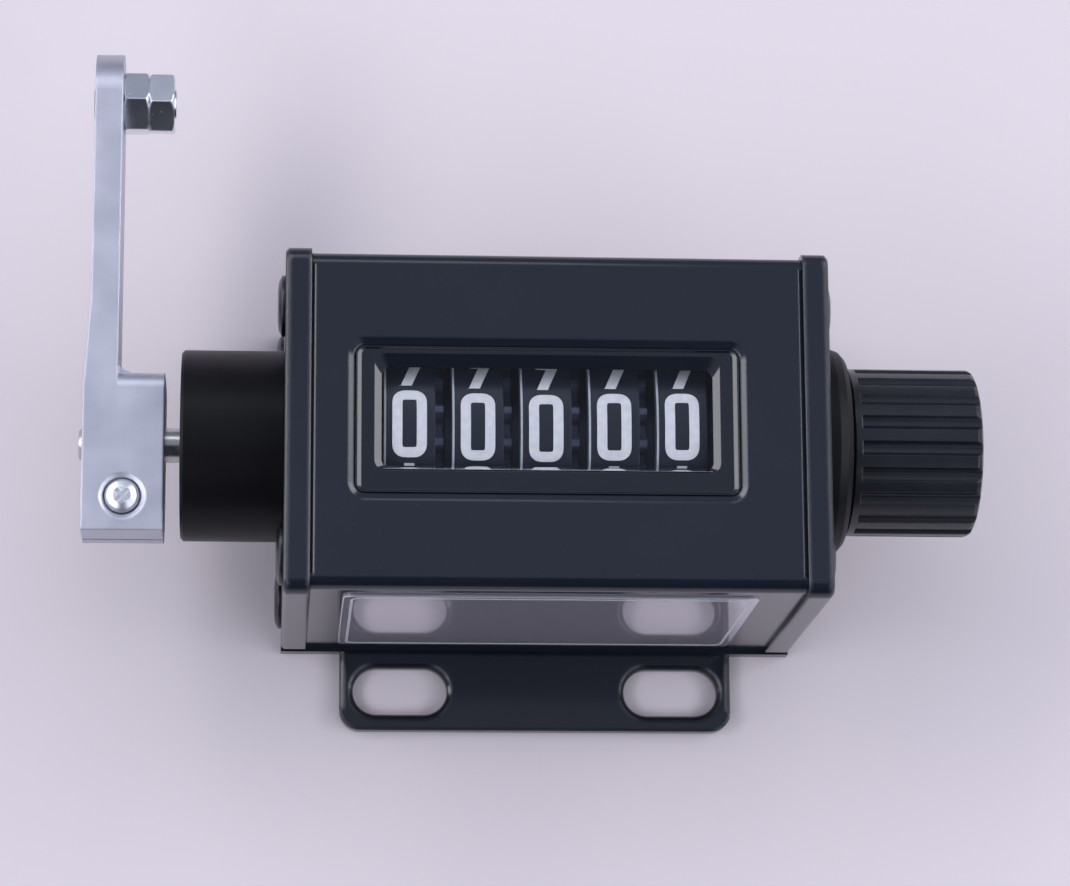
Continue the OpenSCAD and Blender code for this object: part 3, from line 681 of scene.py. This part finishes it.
class Surface(Enum):
    """The finishes that the pieces choose from."""

    CASE = Enamel()
    FOOT = Enamel("foot_enamel", (0.0050, 0.0072, 0.0125), edge_mm=0.12, tab_mm=0.80)
    FRAME = Enamel(
        "window_frame_enamel", (0.0050, 0.0070, 0.0115), gloss=0.12, edge_mm=0.12, peel_mm=0.002
    )
    PLATE = Foil()
    END_PLATE = Enamel("end_plate_enamel", edge_mm=0.80)
    HOUSING = Moulded(shine=0.12)
    KNOB = Moulded(
        "knob_plastic",
        (0.0050, 0.0060, 0.0105),
        gloss=0.27,
        edge_mm=0.22,
        grain_mm=0.006,
        shine=0.48,
    )
    COLLAR = Moulded(
        "collar_plastic",
        (0.0025, 0.0026, 0.0036),
        gloss=0.46,
        grain_mm=0.010,
        rub=0.006,
        shine=0.18,
    )
    WHEEL = Drum()
    PINION = Moulded(
        "carry_pinion_plastic",
        (0.60, 0.58, 0.53),
        gloss=0.42,
        edge_mm=0.12,
        grain_mm=0.006,
        rub=0.035,
        shine=0.5,
    )
    BLACK_SCREW = Turned(
        "blackened_screws", (0.045, 0.045, 0.050), gloss=0.30, edge_mm=0.20, ring_mm=0.003
    )
    LEVER = Plated()
    SCREW = Plated("plated_screw", (0.84, 0.86, 0.90), gloss=0.34, edge_mm=0.20, line_mm=0.002)
    NUT = Plated("plated_nuts", (0.80, 0.82, 0.86), gloss=0.20, edge_mm=0.28, line_mm=0.003)
    SHAFT = Turned()
    STUD = Threaded()
    SPRING = Turned("spring_steel", (0.46, 0.46, 0.48), gloss=0.28, edge_mm=0.05, ring_mm=0.002)
    SHEET = Plated("passivated_sheet", (0.55, 0.55, 0.56), gloss=0.36, edge_mm=0.15, line_mm=0.004)
    CLIP = Turned("phosphated_clips", (0.10, 0.10, 0.105), gloss=0.42, edge_mm=0.10, ring_mm=0.002)
    BUSH = Turned("bronze_bush", (0.62, 0.43, 0.18), gloss=0.30, edge_mm=0.15, ring_mm=0.004)
    INK = Printed()
    BORDER = Printed("border_ink", (0.62, 0.63, 0.68), gloss=0.35)
    # Painted highlight: a light line printed at each band's left edge, in place of the light that
    # the edge would catch.
    EDGE = Printed("band_edge_painted_highlight", (0.36, 0.37, 0.41), gloss=0.30)
    PANE = ClearPane()
    LIP = Foil("lens_lip_mirror", (0.86, 0.87, 0.91), gloss=0.04, metal=1.0)

    def dress(self, *pieces: bpy.types.Object) -> None:
        """Puts this finish on pieces.

        Args:
            pieces: The objects to dress.
        """
        material = bpy.data.materials.get(self.value.name) or self.value.material()
        for piece in pieces:
            piece.data.materials.clear()
            piece.data.materials.append(material)
            LOG.info("dressed %s in %s", piece.name, self.value.name)


@dataclass
class Shell:
    """A closed surface: points in millimetres, quads, and caps where it has ends."""

    points: np.ndarray
    quads: np.ndarray
    caps: list[np.ndarray]

    @classmethod
    def carried(cls, rings: np.ndarray, closed: bool) -> Shell:
        """Joins rings of one profile: ring i and point j meet ring i + 1 and point j + 1.

        Args:
            rings: Array of ring, point and coordinate.
            closed: Whether the last ring meets the first.

        Returns:
            The shell, turned outwards.
        """
        count, around, _ = rings.shape
        i = np.arange(count if closed else count - 1)[:, None]
        j = np.arange(around)[None, :]
        after, beside = (i + 1) % count, (j + 1) % around
        corners = (i * around + j, i * around + beside, after * around + beside, after * around + j)
        quads = np.stack(corners, axis=-1).reshape(-1, 4)
        ends = [np.arange(around)[::-1], (count - 1) * around + np.arange(around)]
        return cls(rings.reshape(-1, 3), quads, [] if closed else ends).outwards()

    @classmethod
    def joined(cls, shells: Sequence[Shell]) -> Shell:
        """Puts shells side by side in one.

        Args:
            shells: The shells.

        Returns:
            One shell of them all.
        """
        starts = np.cumsum([0] + [len(s.points) for s in shells])[:-1]
        return cls(
            np.concatenate([s.points for s in shells]),
            np.concatenate([s.quads + k for s, k in zip(shells, starts)]),
            [cap + k for s, k in zip(shells, starts) for cap in s.caps],
        )

    def outwards(self) -> Shell:
        """Turns the faces outwards: the sum of the signed cone volumes has to be positive."""
        middle = self.points.mean(axis=0)
        a, b, c, d = (self.points[self.quads[:, k]] - middle for k in range(4))
        volume = (a * np.cross(b, c)).sum() + (a * np.cross(c, d)).sum()
        for cap in self.caps:
            rim = self.points[cap] - middle
            volume += (rim[0] * np.cross(rim[1:-1], rim[2:])).sum()
        if volume < 0:
            self.quads = self.quads[:, ::-1]
            self.caps = [cap[::-1] for cap in self.caps]
        return self

    def placed(
        self, name: str, body: str | None = None, smooth: bool = False
    ) -> bpy.types.Object:
        """Makes a mesh object at the origin and lets it ride on a body.

        Args:
            name: The object's name.
            body: The body that it moves with, or none to leave it unattached.
            smooth: Whether it is shaded smooth.

        Returns:
            The object.
        """
        mesh = bpy.data.meshes.new(name)
        faces = self.quads.tolist() + [cap.tolist() for cap in self.caps]
        mesh.from_pydata((self.points * MM).tolist(), [], faces)
        mesh.polygons.foreach_set("use_smooth", np.full(len(faces), smooth))
        mesh.update()
        piece = bpy.data.objects.new(name, mesh)
        bpy.context.scene.collection.objects.link(piece)
        if body:
            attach(piece, body)
        LOG.info("built %s with %d faces", name, len(faces))
        return piece


def rounded_path(corners: np.ndarray, closed: bool, cut: float, step: float) -> np.ndarray:
    """A path through corners, each rounded by a quadratic curve, in even steps.

    At a corner P the curve runs from P - cut * d1 to P + cut * d2 with P as its control point,
    where d1 and d2 are the directions of the sides before and after it.

    Args:
        corners: Corner points.
        closed: Whether the last corner meets the first.
        cut: How far before and after a corner the curve starts and ends.
        step: Distance between the points.

    Returns:
        The points, without the first one repeated at the end.
    """
    before = np.roll(corners, 1, axis=0) - corners
    after = np.roll(corners, -1, axis=0) - corners
    reach = np.full((len(corners), 1), cut)
    if not closed:
        reach[[0, -1]] = 0.0
    start = corners + reach * before / np.linalg.norm(before, axis=1, keepdims=True)
    end = corners + reach * after / np.linalg.norm(after, axis=1, keepdims=True)
    t = np.linspace(0.0, 1.0, CURVE_POINTS)[None, :, None]
    curves = (1 - t) ** 2 * start[:, None] + t**2 * end[:, None]
    curves = curves + 2 * t * (1 - t) * corners[:, None]
    line = curves.reshape(-1, corners.shape[1])
    if closed:
        line = np.concatenate([line, line[:1]])
    gaps = np.linalg.norm(np.diff(line, axis=0), axis=1)
    keep = np.concatenate([[True], gaps > TINY])
    line, run = line[keep], np.concatenate([[0.0], np.cumsum(gaps[gaps > TINY])])
    count = max(2, int(round(run[-1] / step)) + 1)
    places = np.linspace(0.0, run[-1], count)[: -1 if closed else None]
    return np.stack([np.interp(places, run, line[:, k]) for k in range(line.shape[1])], axis=1)


def side_steps(path: np.ndarray, closed: bool) -> np.ndarray:
    """Unit normals of a flat path: its direction turned by a quarter.

    Args:
        path: Points of the path.
        closed: Whether it is a loop.

    Returns:
        One normal for each point.
    """
    if closed:
        ahead = np.roll(path, -1, axis=0) - np.roll(path, 1, axis=0)
    else:
        ahead = np.gradient(path, axis=0)
    ahead = ahead / np.linalg.norm(ahead, axis=1, keepdims=True)
    return np.stack([-ahead[:, 1], ahead[:, 0]], axis=1)


@dataclass
class DigitFace:
    """The printed digits: strokes of one width round a box of fixed size."""

    half_width: float = 1.45
    half_height: float = 3.51
    stroke: float = 1.21
    corner: float = 1.0
    lean: float = 0.39
    step: float = 0.22

    def strokes(self, digit: int) -> list[tuple[np.ndarray, bool]]:
        """Centre lines of a digit's strokes as corner points about the digit's middle.

        Args:
            digit: 0 to 9.

        Returns:
            Corner points and whether the stroke is a loop.
        """
        a, b = self.half_width, self.half_height
        wide, high = a + self.stroke / 2, b + self.stroke / 2
        bowl = [(a, -b), (a, 0.5), (-a, 0.5), (-a, -b)]
        tail = [(-a, -0.6), (-a + (high + 1.6) * self.lean, high + 1.0)]
        drawn: dict[int, list[tuple[list[Pair], bool]]] = {
            0: [([(a, -b), (a, b), (-a, b), (-a, -b)], True)],
            1: [([(0.0, -high), (0.0, high)], False)],
            2: [
                ([(-a, 1.7), (-a, b), (a, b), (a, 1.0), (-a - 0.2, -b)], False),
                ([(-wide, -b), (wide, -b)], False),
            ],
            3: [
                ([(-a, 1.9), (-a, b), (a, b), (a, 0.0), (-0.5, 0.0)], False),
                ([(-0.5, 0.0), (a, 0.0), (a, -b), (-a, -b), (-a, -1.9)], False),
            ],
            4: [
                ([(0.5, high + 0.4), (-a - 0.1, -1.5)], False),
                ([(-wide, -1.5), (wide, -1.5)], False),
                ([(0.8, 0.8), (0.8, -high)], False),
            ],
            5: [
                ([(wide, b), (-wide, b)], False),
                ([(-a, high), (-a, -0.2)], False),
                ([(-wide, 0.4), (a, 0.4), (a, -b), (-a, -b), (-a, -1.9)], False),
            ],
            6: [(bowl, True), (tail, False)],
            7: [([(-wide, b), (wide, b)], False), ([(a - 0.1, b), (-0.7, -high - 0.4)], False)],
            8: [
                ([(a, -b), (a, 0.0), (-a, 0.0), (-a, -b)], True),
                ([(a, 0.0), (a, b), (-a, b), (-a, 0.0)], True),
            ],
        }
        if digit == 9:
            return [(-points, loop) for points, loop in self.strokes(6)]
        return [(np.array(points), loop) for points, loop in drawn[digit]]

    def ribbons(self, digit: int) -> list[tuple[np.ndarray, bool]]:
        """Both edges of each stroke, cut off square at the digit's box.

        Args:
            digit: 0 to 9.

        Returns:
            Arrays of point, edge and coordinate, and whether the stroke is a loop.
        """
        box = np.array([self.half_width, self.half_height]) + self.stroke / 2
        made = []
        for corners, loop in self.strokes(digit):
            line = rounded_path(corners, loop, self.corner, self.step)
            aside = side_steps(line, loop) * self.stroke / 2
            edges = np.stack([line + aside, line - aside], axis=1)
            made.append((np.clip(edges, -box, box), loop))
        return made


@dataclass
class NumberRow:
    """Five number wheels with their carry pinions, axle and click."""

    radius: float = 14.2
    proud: float = 0.05
    sunk: float = 0.08
    pitch: float = 8.13
    middle: float = -1.4
    band: float = 6.1
    line: float = 0.26
    digit_angle: float = 36.0
    layer_step: float = 0.004
    line_steps: int = 180
    settle: tuple[float, ...] = (-0.35, -1.55, -1.95, -0.95, -0.45)
    places: tuple[str, ...] = ("10000", "1000", "100", "10", "1")

    def digits(self, place: str) -> bpy.types.Object:
        """Wraps the ten digits of one wheel round its band.

        A stroke's point (x, y) at height h lands at the angle -36 degrees a digit plus
        y / radius from the top, on the radius plus h.

        Args:
            place: The wheel's place value.

        Returns:
            The printed digits.
        """
        index = self.places.index(place)
        centre = self.middle + (index - 2) * self.pitch
        face, shells = DigitFace(), []
        for digit in range(10):
            for layer, (edges, loop) in enumerate(face.ribbons(digit)):
                heights = np.array([-self.sunk, self.proud - self.layer_step * layer])
                x = edges[:, [0, 0, 1, 1], 0] + centre
                turned = np.radians(self.settle[index] - self.digit_angle * digit)
                angle = edges[:, [0, 0, 1, 1], 1] / self.radius + turned
                r = self.radius + heights[[0, 1, 1, 0]][None, :]
                rings = np.stack([x, r * np.sin(angle), AXLE_Z + r * np.cos(angle)], axis=-1)
                shells.append(Shell.carried(rings, loop))
        return Shell.joined(shells).placed(f"digits_{place}", f"wheel_unit_{place}")

    def painted_edge_highlight(self, place: str) -> bpy.types.Object:
        """Lays a painted highlight, a fine light line, round the left edge of one wheel's band.

        Args:
            place: The wheel's place value.

        Returns:
            The line.
        """
        index = self.places.index(place)
        left = self.middle + (index - 2) * self.pitch - self.band / 2
        a = np.linspace(0.0, 2.0 * np.pi, self.line_steps, endpoint=False)[:, None]
        x = left + np.array([0.0, 0.0, self.line, self.line])[None, :] + 0.0 * a
        r = self.radius + np.array([-self.sunk, self.proud, self.proud, -self.sunk])[None, :]
        rings = np.stack([x, r * np.sin(a), AXLE_Z + r * np.cos(a)], axis=-1)
        return Shell.carried(rings, True).placed(f"painted_edge_highlight_{place}", f"wheel_unit_{place}")

    def build(self) -> None:
        """Prints the digits and lays the painted edge highlight on every wheel."""
        for place in self.places:
            Surface.INK.dress(self.digits(place))
            Surface.EDGE.dress(self.painted_edge_highlight(place))

    def dress(self, nodes: dict[str, bpy.types.Object]) -> None:
        """Finishes the wheels and the pieces that move them.

        Args:
            nodes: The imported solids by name.
        """
        Surface.WHEEL.dress(*(nodes[f"wheel_{place}"] for place in self.places))
        Surface.PINION.dress(*(nodes[f"pinion_{place}"] for place in self.places[:-1]))
        Surface.SHAFT.dress(nodes["wheel_axle"], nodes["pinion_axle"])
        Surface.CLIP.dress(nodes["axle_clips"])
        Surface.SPRING.dress(nodes["click_spring"])
        Surface.SHEET.dress(nodes["click_screw"])


@dataclass
class CaseUnit:
    """Foot, cover, end plates and the bare name plate on the near side."""

    plate_left: float = -25.4
    plate_right: float = 24.2
    plate_low: float = 6.0
    plate_high: float = 39.4
    face_y: float = -20.4
    plate_t: float = 0.28
    corner: float = 1.2
    border: float = 0.32
    border_inset: float = 1.1
    border_sunk: float = 0.05
    border_proud: float = 0.03
    plate_sunk: float = 0.1
    plate_slope: float = 0.12
    outline_step: float = 0.4
    lip_ends: Pair = (-20.8, 18.2)
    lip_face: tuple[Pair, Pair] = ((-5.96, 43.08), (-5.40, 42.03))
    lip_t: float = 0.08

    def outline(self, inset: float) -> np.ndarray:
        """The name plate's rounded outline in X and Z.

        Args:
            inset: How far it stays inside the plate's edge.

        Returns:
            The points of the outline.
        """
        x0, x1 = self.plate_left + inset, self.plate_right - inset
        z0, z1 = self.plate_low + inset, self.plate_high - inset
        corners = np.array([(x0, z0), (x1, z0), (x1, z1), (x0, z1)])
        return rounded_path(corners, True, self.corner, self.outline_step)

    def raised(self, outline: np.ndarray, out: float) -> np.ndarray:
        """Lays an outline parallel to the near face, a distance out from it."""
        y = np.full(len(outline), self.face_y - out)
        return np.stack([outline[:, 0], y, outline[:, 1]], axis=1)

    def build(self) -> None:
        """Makes the bare name plate with its printed border."""
        edge, inner = self.outline(0.0), self.outline(self.plate_slope)
        count = min(len(edge), len(inner))
        edge, inner = edge[np.linspace(0, len(edge) - 1, count).astype(int)], inner[:count]
        rings = np.stack(
            [
                self.raised(edge, -self.plate_sunk),
                self.raised(edge, self.plate_t - self.plate_sunk),
                self.raised(inner, self.plate_t),
            ]
        )
        plate = Shell.carried(rings, False).placed("name_plate", "case")
        Surface.PLATE.dress(plate)
        line = self.outline(self.border_inset)
        aside = side_steps(line, True) * self.border / 2
        low, high = self.plate_t - self.border_sunk, self.plate_t + self.border_proud
        loop = np.stack(
            [
                self.raised(line + aside, low),
                self.raised(line + aside, high),
                self.raised(line - aside, high),
                self.raised(line - aside, low),
            ],
            axis=1,
        )
        Surface.BORDER.dress(Shell.carried(loop, True).placed("name_plate_border", "case"))
        lip = self.lens_lip()
        Surface.LIP.dress(lip)

    def lens_lip(self) -> bpy.types.Object:
        """The turned-down near edge of the lens, which mirrors the foot of each digit.

        Returns:
            The lip, a thin sloping strip.
        """
        face = np.array(self.lip_face)
        along = (face[1] - face[0]) / np.linalg.norm(face[1] - face[0])
        inward = np.array([along[1], -along[0]]) * self.lip_t
        loop = np.concatenate([face, face[::-1] + inward])
        x = np.array(self.lip_ends)[:, None] + np.zeros(4)[None, :]
        rings = np.stack(
            [x, np.tile(loop[:, 0], (2, 1)), np.tile(loop[:, 1], (2, 1))], axis=-1
        )
        return Shell.carried(rings, False).placed("lens_lip", "case")

    def dress(self, nodes: dict[str, bpy.types.Object]) -> None:
        """Finishes the case.

        Args:
            nodes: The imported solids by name.
        """
        Surface.CASE.dress(nodes["case_cover"])
        Surface.END_PLATE.dress(nodes["left_end_plate"], nodes["right_end_plate"])
        Surface.FOOT.dress(nodes["base_plate"])
        Surface.FRAME.dress(nodes["window_frame"])
        Surface.PANE.dress(nodes["window_lens"])
        Surface.BLACK_SCREW.dress(nodes["left_plate_screws"], nodes["right_plate_screws"])
        Surface.SHEET.dress(nodes["base_screws"], nodes["tie_posts"])


@dataclass
class DriveSide:
    """Lever, shaft, housing, the wound return spring and the yoke behind them."""

    spring_x: float = -35.1
    spring_r: float = 6.4
    spring_wire: float = 0.45
    turns: float = 4.5
    rise: float = 1.25
    steps_a_turn: int = 48
    wire_sides: int = 14
    lead: tuple[Pair, Pair] = ((3.9, -1.2), (5.2, -0.9))
    trail: tuple[Pair, Pair] = ((-1.3, -0.6), (-2.4, -0.9))
    axle_z: float = AXLE_Z

    def route(self) -> np.ndarray:
        """Middle line of the spring: leg, helix round X, leg.

        The helix is x = start - rise * turn, y = r cos, z = r sin over the turns.

        Returns:
            The points of the line.
        """
        a = np.linspace(0.0, 2.0 * np.pi * self.turns, int(self.steps_a_turn * self.turns) + 1)
        x = self.spring_x - self.rise * a / (2.0 * np.pi)
        coil = np.stack([x, self.spring_r * np.cos(a), self.spring_r * np.sin(a)], axis=1)
        first, last = coil[0], coil[-1]
        lead = np.array([(first[0], *leg) for leg in self.lead])
        trail = last + np.array([(0.0, *leg) for leg in self.trail])
        return np.concatenate([lead, coil, trail]) + np.array([0.0, 0.0, self.axle_z])

    def build(self) -> None:
        """Carries the wire's round profile along the spring's route.

        The wire winds up between its leg in the collar, which turns with the lever, and its leg
        in the housing.
        """
        line = self.route()
        ahead = np.gradient(line, axis=0)
        ahead = ahead / np.linalg.norm(ahead, axis=1, keepdims=True)
        aside = np.cross(ahead, np.array([1.0, 0.0, 0.0]))
        aside = aside / np.linalg.norm(aside, axis=1, keepdims=True)
        over = np.cross(ahead, aside)
        a = np.linspace(0.0, 2.0 * np.pi, self.wire_sides, endpoint=False)[None, :, None]
        rings = line[:, None] + self.spring_wire * (
            np.cos(a) * aside[:, None] + np.sin(a) * over[:, None]
        )
        wire = Shell.carried(rings, False).placed("return_spring_wire", smooth=True)
        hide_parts("return_spring")
        Surface.SPRING.dress(wire)
        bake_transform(wire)

    def dress(self, nodes: dict[str, bpy.types.Object]) -> None:
        """Finishes the drive side.

        Args:
            nodes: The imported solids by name.
        """
        Surface.LEVER.dress(nodes["lever"])
        Surface.SCREW.dress(nodes["lever_clamp_screw"])
        Surface.STUD.dress(nodes["lever_stud"])
        Surface.NUT.dress(nodes["stud_nuts"])
        Surface.HOUSING.dress(nodes["drive_housing"])
        Surface.SHAFT.dress(nodes["drive_shaft"], nodes["yoke_pin"], nodes["spring_collar"])
        Surface.BUSH.dress(nodes["outer_bush"], nodes["inner_bush"])
        Surface.CLIP.dress(nodes["shaft_clip"])
        Surface.SHEET.dress(nodes["drive_yoke"], nodes["housing_screws"])
        Surface.SPRING.dress(nodes["drive_pawl"], nodes["return_spring"])


@dataclass
class ResetSide:
    """Reset collar and knob."""

    def dress(self, nodes: dict[str, bpy.types.Object]) -> None:
        """Finishes the reset side.

        Args:
            nodes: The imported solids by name.
        """
        Surface.COLLAR.dress(nodes["reset_collar"])
        Surface.KNOB.dress(nodes["reset_knob"])
        Surface.CLIP.dress(nodes["knob_grub_screw"])
        Surface.BUSH.dress(nodes["axle_bush"])


@dataclass
class Lamp:
    """One soft box: where it hangs, where it points, how big and how strong it is."""

    name: str
    place: Triple
    aim: Triple
    width: float
    height: float
    power: float
    colour: Colour = (0.93, 0.94, 1.0)

    def build(self) -> None:
        """Hangs the lamp."""
        data = bpy.data.lights.new(self.name, "AREA")
        data.shape = "RECTANGLE"
        data.size, data.size_y = self.width, self.height
        data.energy, data.color = self.power, self.colour
        back = np.array(self.place) - np.array(self.aim)
        back = back / np.linalg.norm(back)
        side = np.cross((0.0, 0.0, 1.0), back)
        side = side / np.linalg.norm(side)
        turn = np.stack([side, np.cross(back, side), back], axis=1)
        lamp = bpy.data.objects.new(self.name, data)
        bpy.context.scene.collection.objects.link(lamp)
        lamp.matrix_world = Matrix.Translation(self.place) @ Matrix(turn.tolist()).to_4x4()


@dataclass
class Studio:
    """Pale floor, soft light and the camera at the photograph's angle."""

    floor: Colour = (0.668, 0.604, 0.632)
    sky: Colour = (0.42, 0.46, 0.58)
    dim: float = 0.92
    wall: float = 0.5
    focal_px: float = 3833.39
    turns: Triple = (-0.2210, 0.0703, -0.0106)
    shift: Triple = (-0.206, -6.7934, -496.6419)
    floor_half: float = 3.0
    floor_drop: float = 0.0002

    def lamps(self) -> list[Lamp]:
        """The soft boxes: far key, strips high and low on both sides, fills at the near corners."""
        aim = (0.0, 0.0, 0.03)
        return [
            Lamp("key", (-0.14, 0.66, 0.80), aim, width=0.50, height=0.28, power=0.8),
            Lamp("left_strip", (-0.57, 0.18, 0.66), aim, width=1.20, height=0.22, power=4.8),
            Lamp("right_strip", (0.66, 0.18, 0.56), aim, width=1.20, height=0.22, power=4.8),
            Lamp("left_panel", (-0.85, 0.20, 0.05), aim, width=0.60, height=0.08, power=1.3),
            Lamp("right_panel", (0.85, 0.20, 0.05), aim, width=0.60, height=0.08, power=1.3),
            Lamp("near_left", (-0.55, -0.55, 0.75), aim, width=0.50, height=0.40, power=1.3),
            Lamp("near_right", (0.55, -0.55, 0.75), aim, width=0.50, height=0.40, power=1.4),
        ]

    def ground(self) -> None:
        """Lays the floor, a flat grid just below the mounting plane."""
        line = np.linspace(-self.floor_half, self.floor_half, 3)
        x, y = np.meshgrid(line, line)
        points = np.stack([x, y, np.full_like(x, -self.floor_drop)], axis=-1).reshape(-1, 3)
        k = (np.arange(2)[:, None] * 3 + np.arange(2)[None, :]).reshape(-1)
        mesh = bpy.data.meshes.new("floor")
        mesh.from_pydata(points.tolist(), [], np.stack([k, k + 1, k + 4, k + 3], axis=1).tolist())
        floor = bpy.data.objects.new("floor", mesh)
        bpy.context.scene.collection.objects.link(floor)
        t = FinishTree("pale_table")
        clouds = t.noise(per_metre=6.0, detail=2.0)
        mesh.materials.append(
            t.close(
                {
                    "Base Color": t.shades(clouds, self.floor, down=0.03, up=0.02),
                    "Roughness": 0.75 + clouds.swing(0.1),
                    "Specular IOR Level": 0.2,
                }
            )
        )

    def sky_light(self) -> None:
        """Sets the light from all round: brighter overhead, dim in one place on the near side.

        The dim place is narrow in X, so that gloss which faces the near side mirrors something
        dark. It isn't seen straight on.
        """
        world = bpy.data.worlds.new("studio")
        world.use_nodes = True
        bpy.context.scene.world = world
        t = Nodes(world.node_tree)
        toward = t.add("ShaderNodeTexCoord").outputs["Generated"]
        split = t.add("ShaderNodeSeparateXYZ", {}, {0: toward})
        x, y, z = (t.number(out) for out in split.outputs)
        seen = t.number(t.add("ShaderNodeLightPath").outputs["Is Camera Ray"])
        dim = (x * x).ramp(0.09, 0.03) * y.ramp(-0.10, -0.22) * z.ramp(-0.02, 0.02)
        wall = (1.0 - z.ramp(0.0, 0.9)) * self.wall
        sky = t.blend(dim.at_least(wall) * (1.0 - seen), self.sky, darker(self.sky, self.dim))
        light = t.add("ShaderNodeBackground", {}, {"Color": sky, "Strength": 1.0})
        t.add("ShaderNodeOutputWorld", {}, {"Surface": light.outputs[0]})

    def camera(self) -> None:
        """Stands the camera at the photograph's angle.

        The turn is Rz Ry Rx from the part's frame to the camera's, and the place is the shift
        taken back through it.
        """
        (a, b, c), (d, e, f) = np.cos(self.turns), np.sin(self.turns)
        about_x = np.array([[1, 0, 0], [0, a, -d], [0, d, a]])
        about_y = np.array([[b, 0, e], [0, 1, 0], [-e, 0, b]])
        about_z = np.array([[c, -f, 0], [f, c, 0], [0, 0, 1]])
        back = (about_z @ about_y @ about_x).T
        place = -back @ np.array(self.shift) * MM
        data = bpy.data.cameras.new("photo_camera")
        data.sensor_fit, data.sensor_width = "HORIZONTAL", SENSOR_WIDTH
        data.lens = SENSOR_WIDTH * self.focal_px / IMAGE_WIDTH
        data.clip_start, data.clip_end = 0.01, 20.0
        camera = bpy.data.objects.new("photo_camera", data)
        bpy.context.scene.collection.objects.link(camera)
        camera.matrix_world = Matrix.Translation(place) @ Matrix(back.tolist()).to_4x4()
        bpy.context.scene.camera = camera

    def build(self) -> None:
        """Sets up the studio."""
        bpy.context.scene.view_settings.view_transform = "Standard"
        self.ground()
        self.sky_light()
        for lamp in self.lamps():
            lamp.build()
        self.camera()


def corners(box: tuple) -> list[list[float]]:
    """Both corners of a box as plain lists."""
    return [[float(x) for x in corner] for corner in box]


def main() -> None:
    """Loads the frame, builds and dresses the sub-assemblies."""
    logging.basicConfig(level=logging.INFO, format="%(name)s: %(message)s")
    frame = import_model()
    nodes = frame["nodes"]
    Studio().build()
    for unit in (CaseUnit(), DriveSide(), NumberRow()):
        unit.build()
        unit.dress(nodes)
    ResetSide().dress(nodes)


if __name__ == "__main__":
    main()
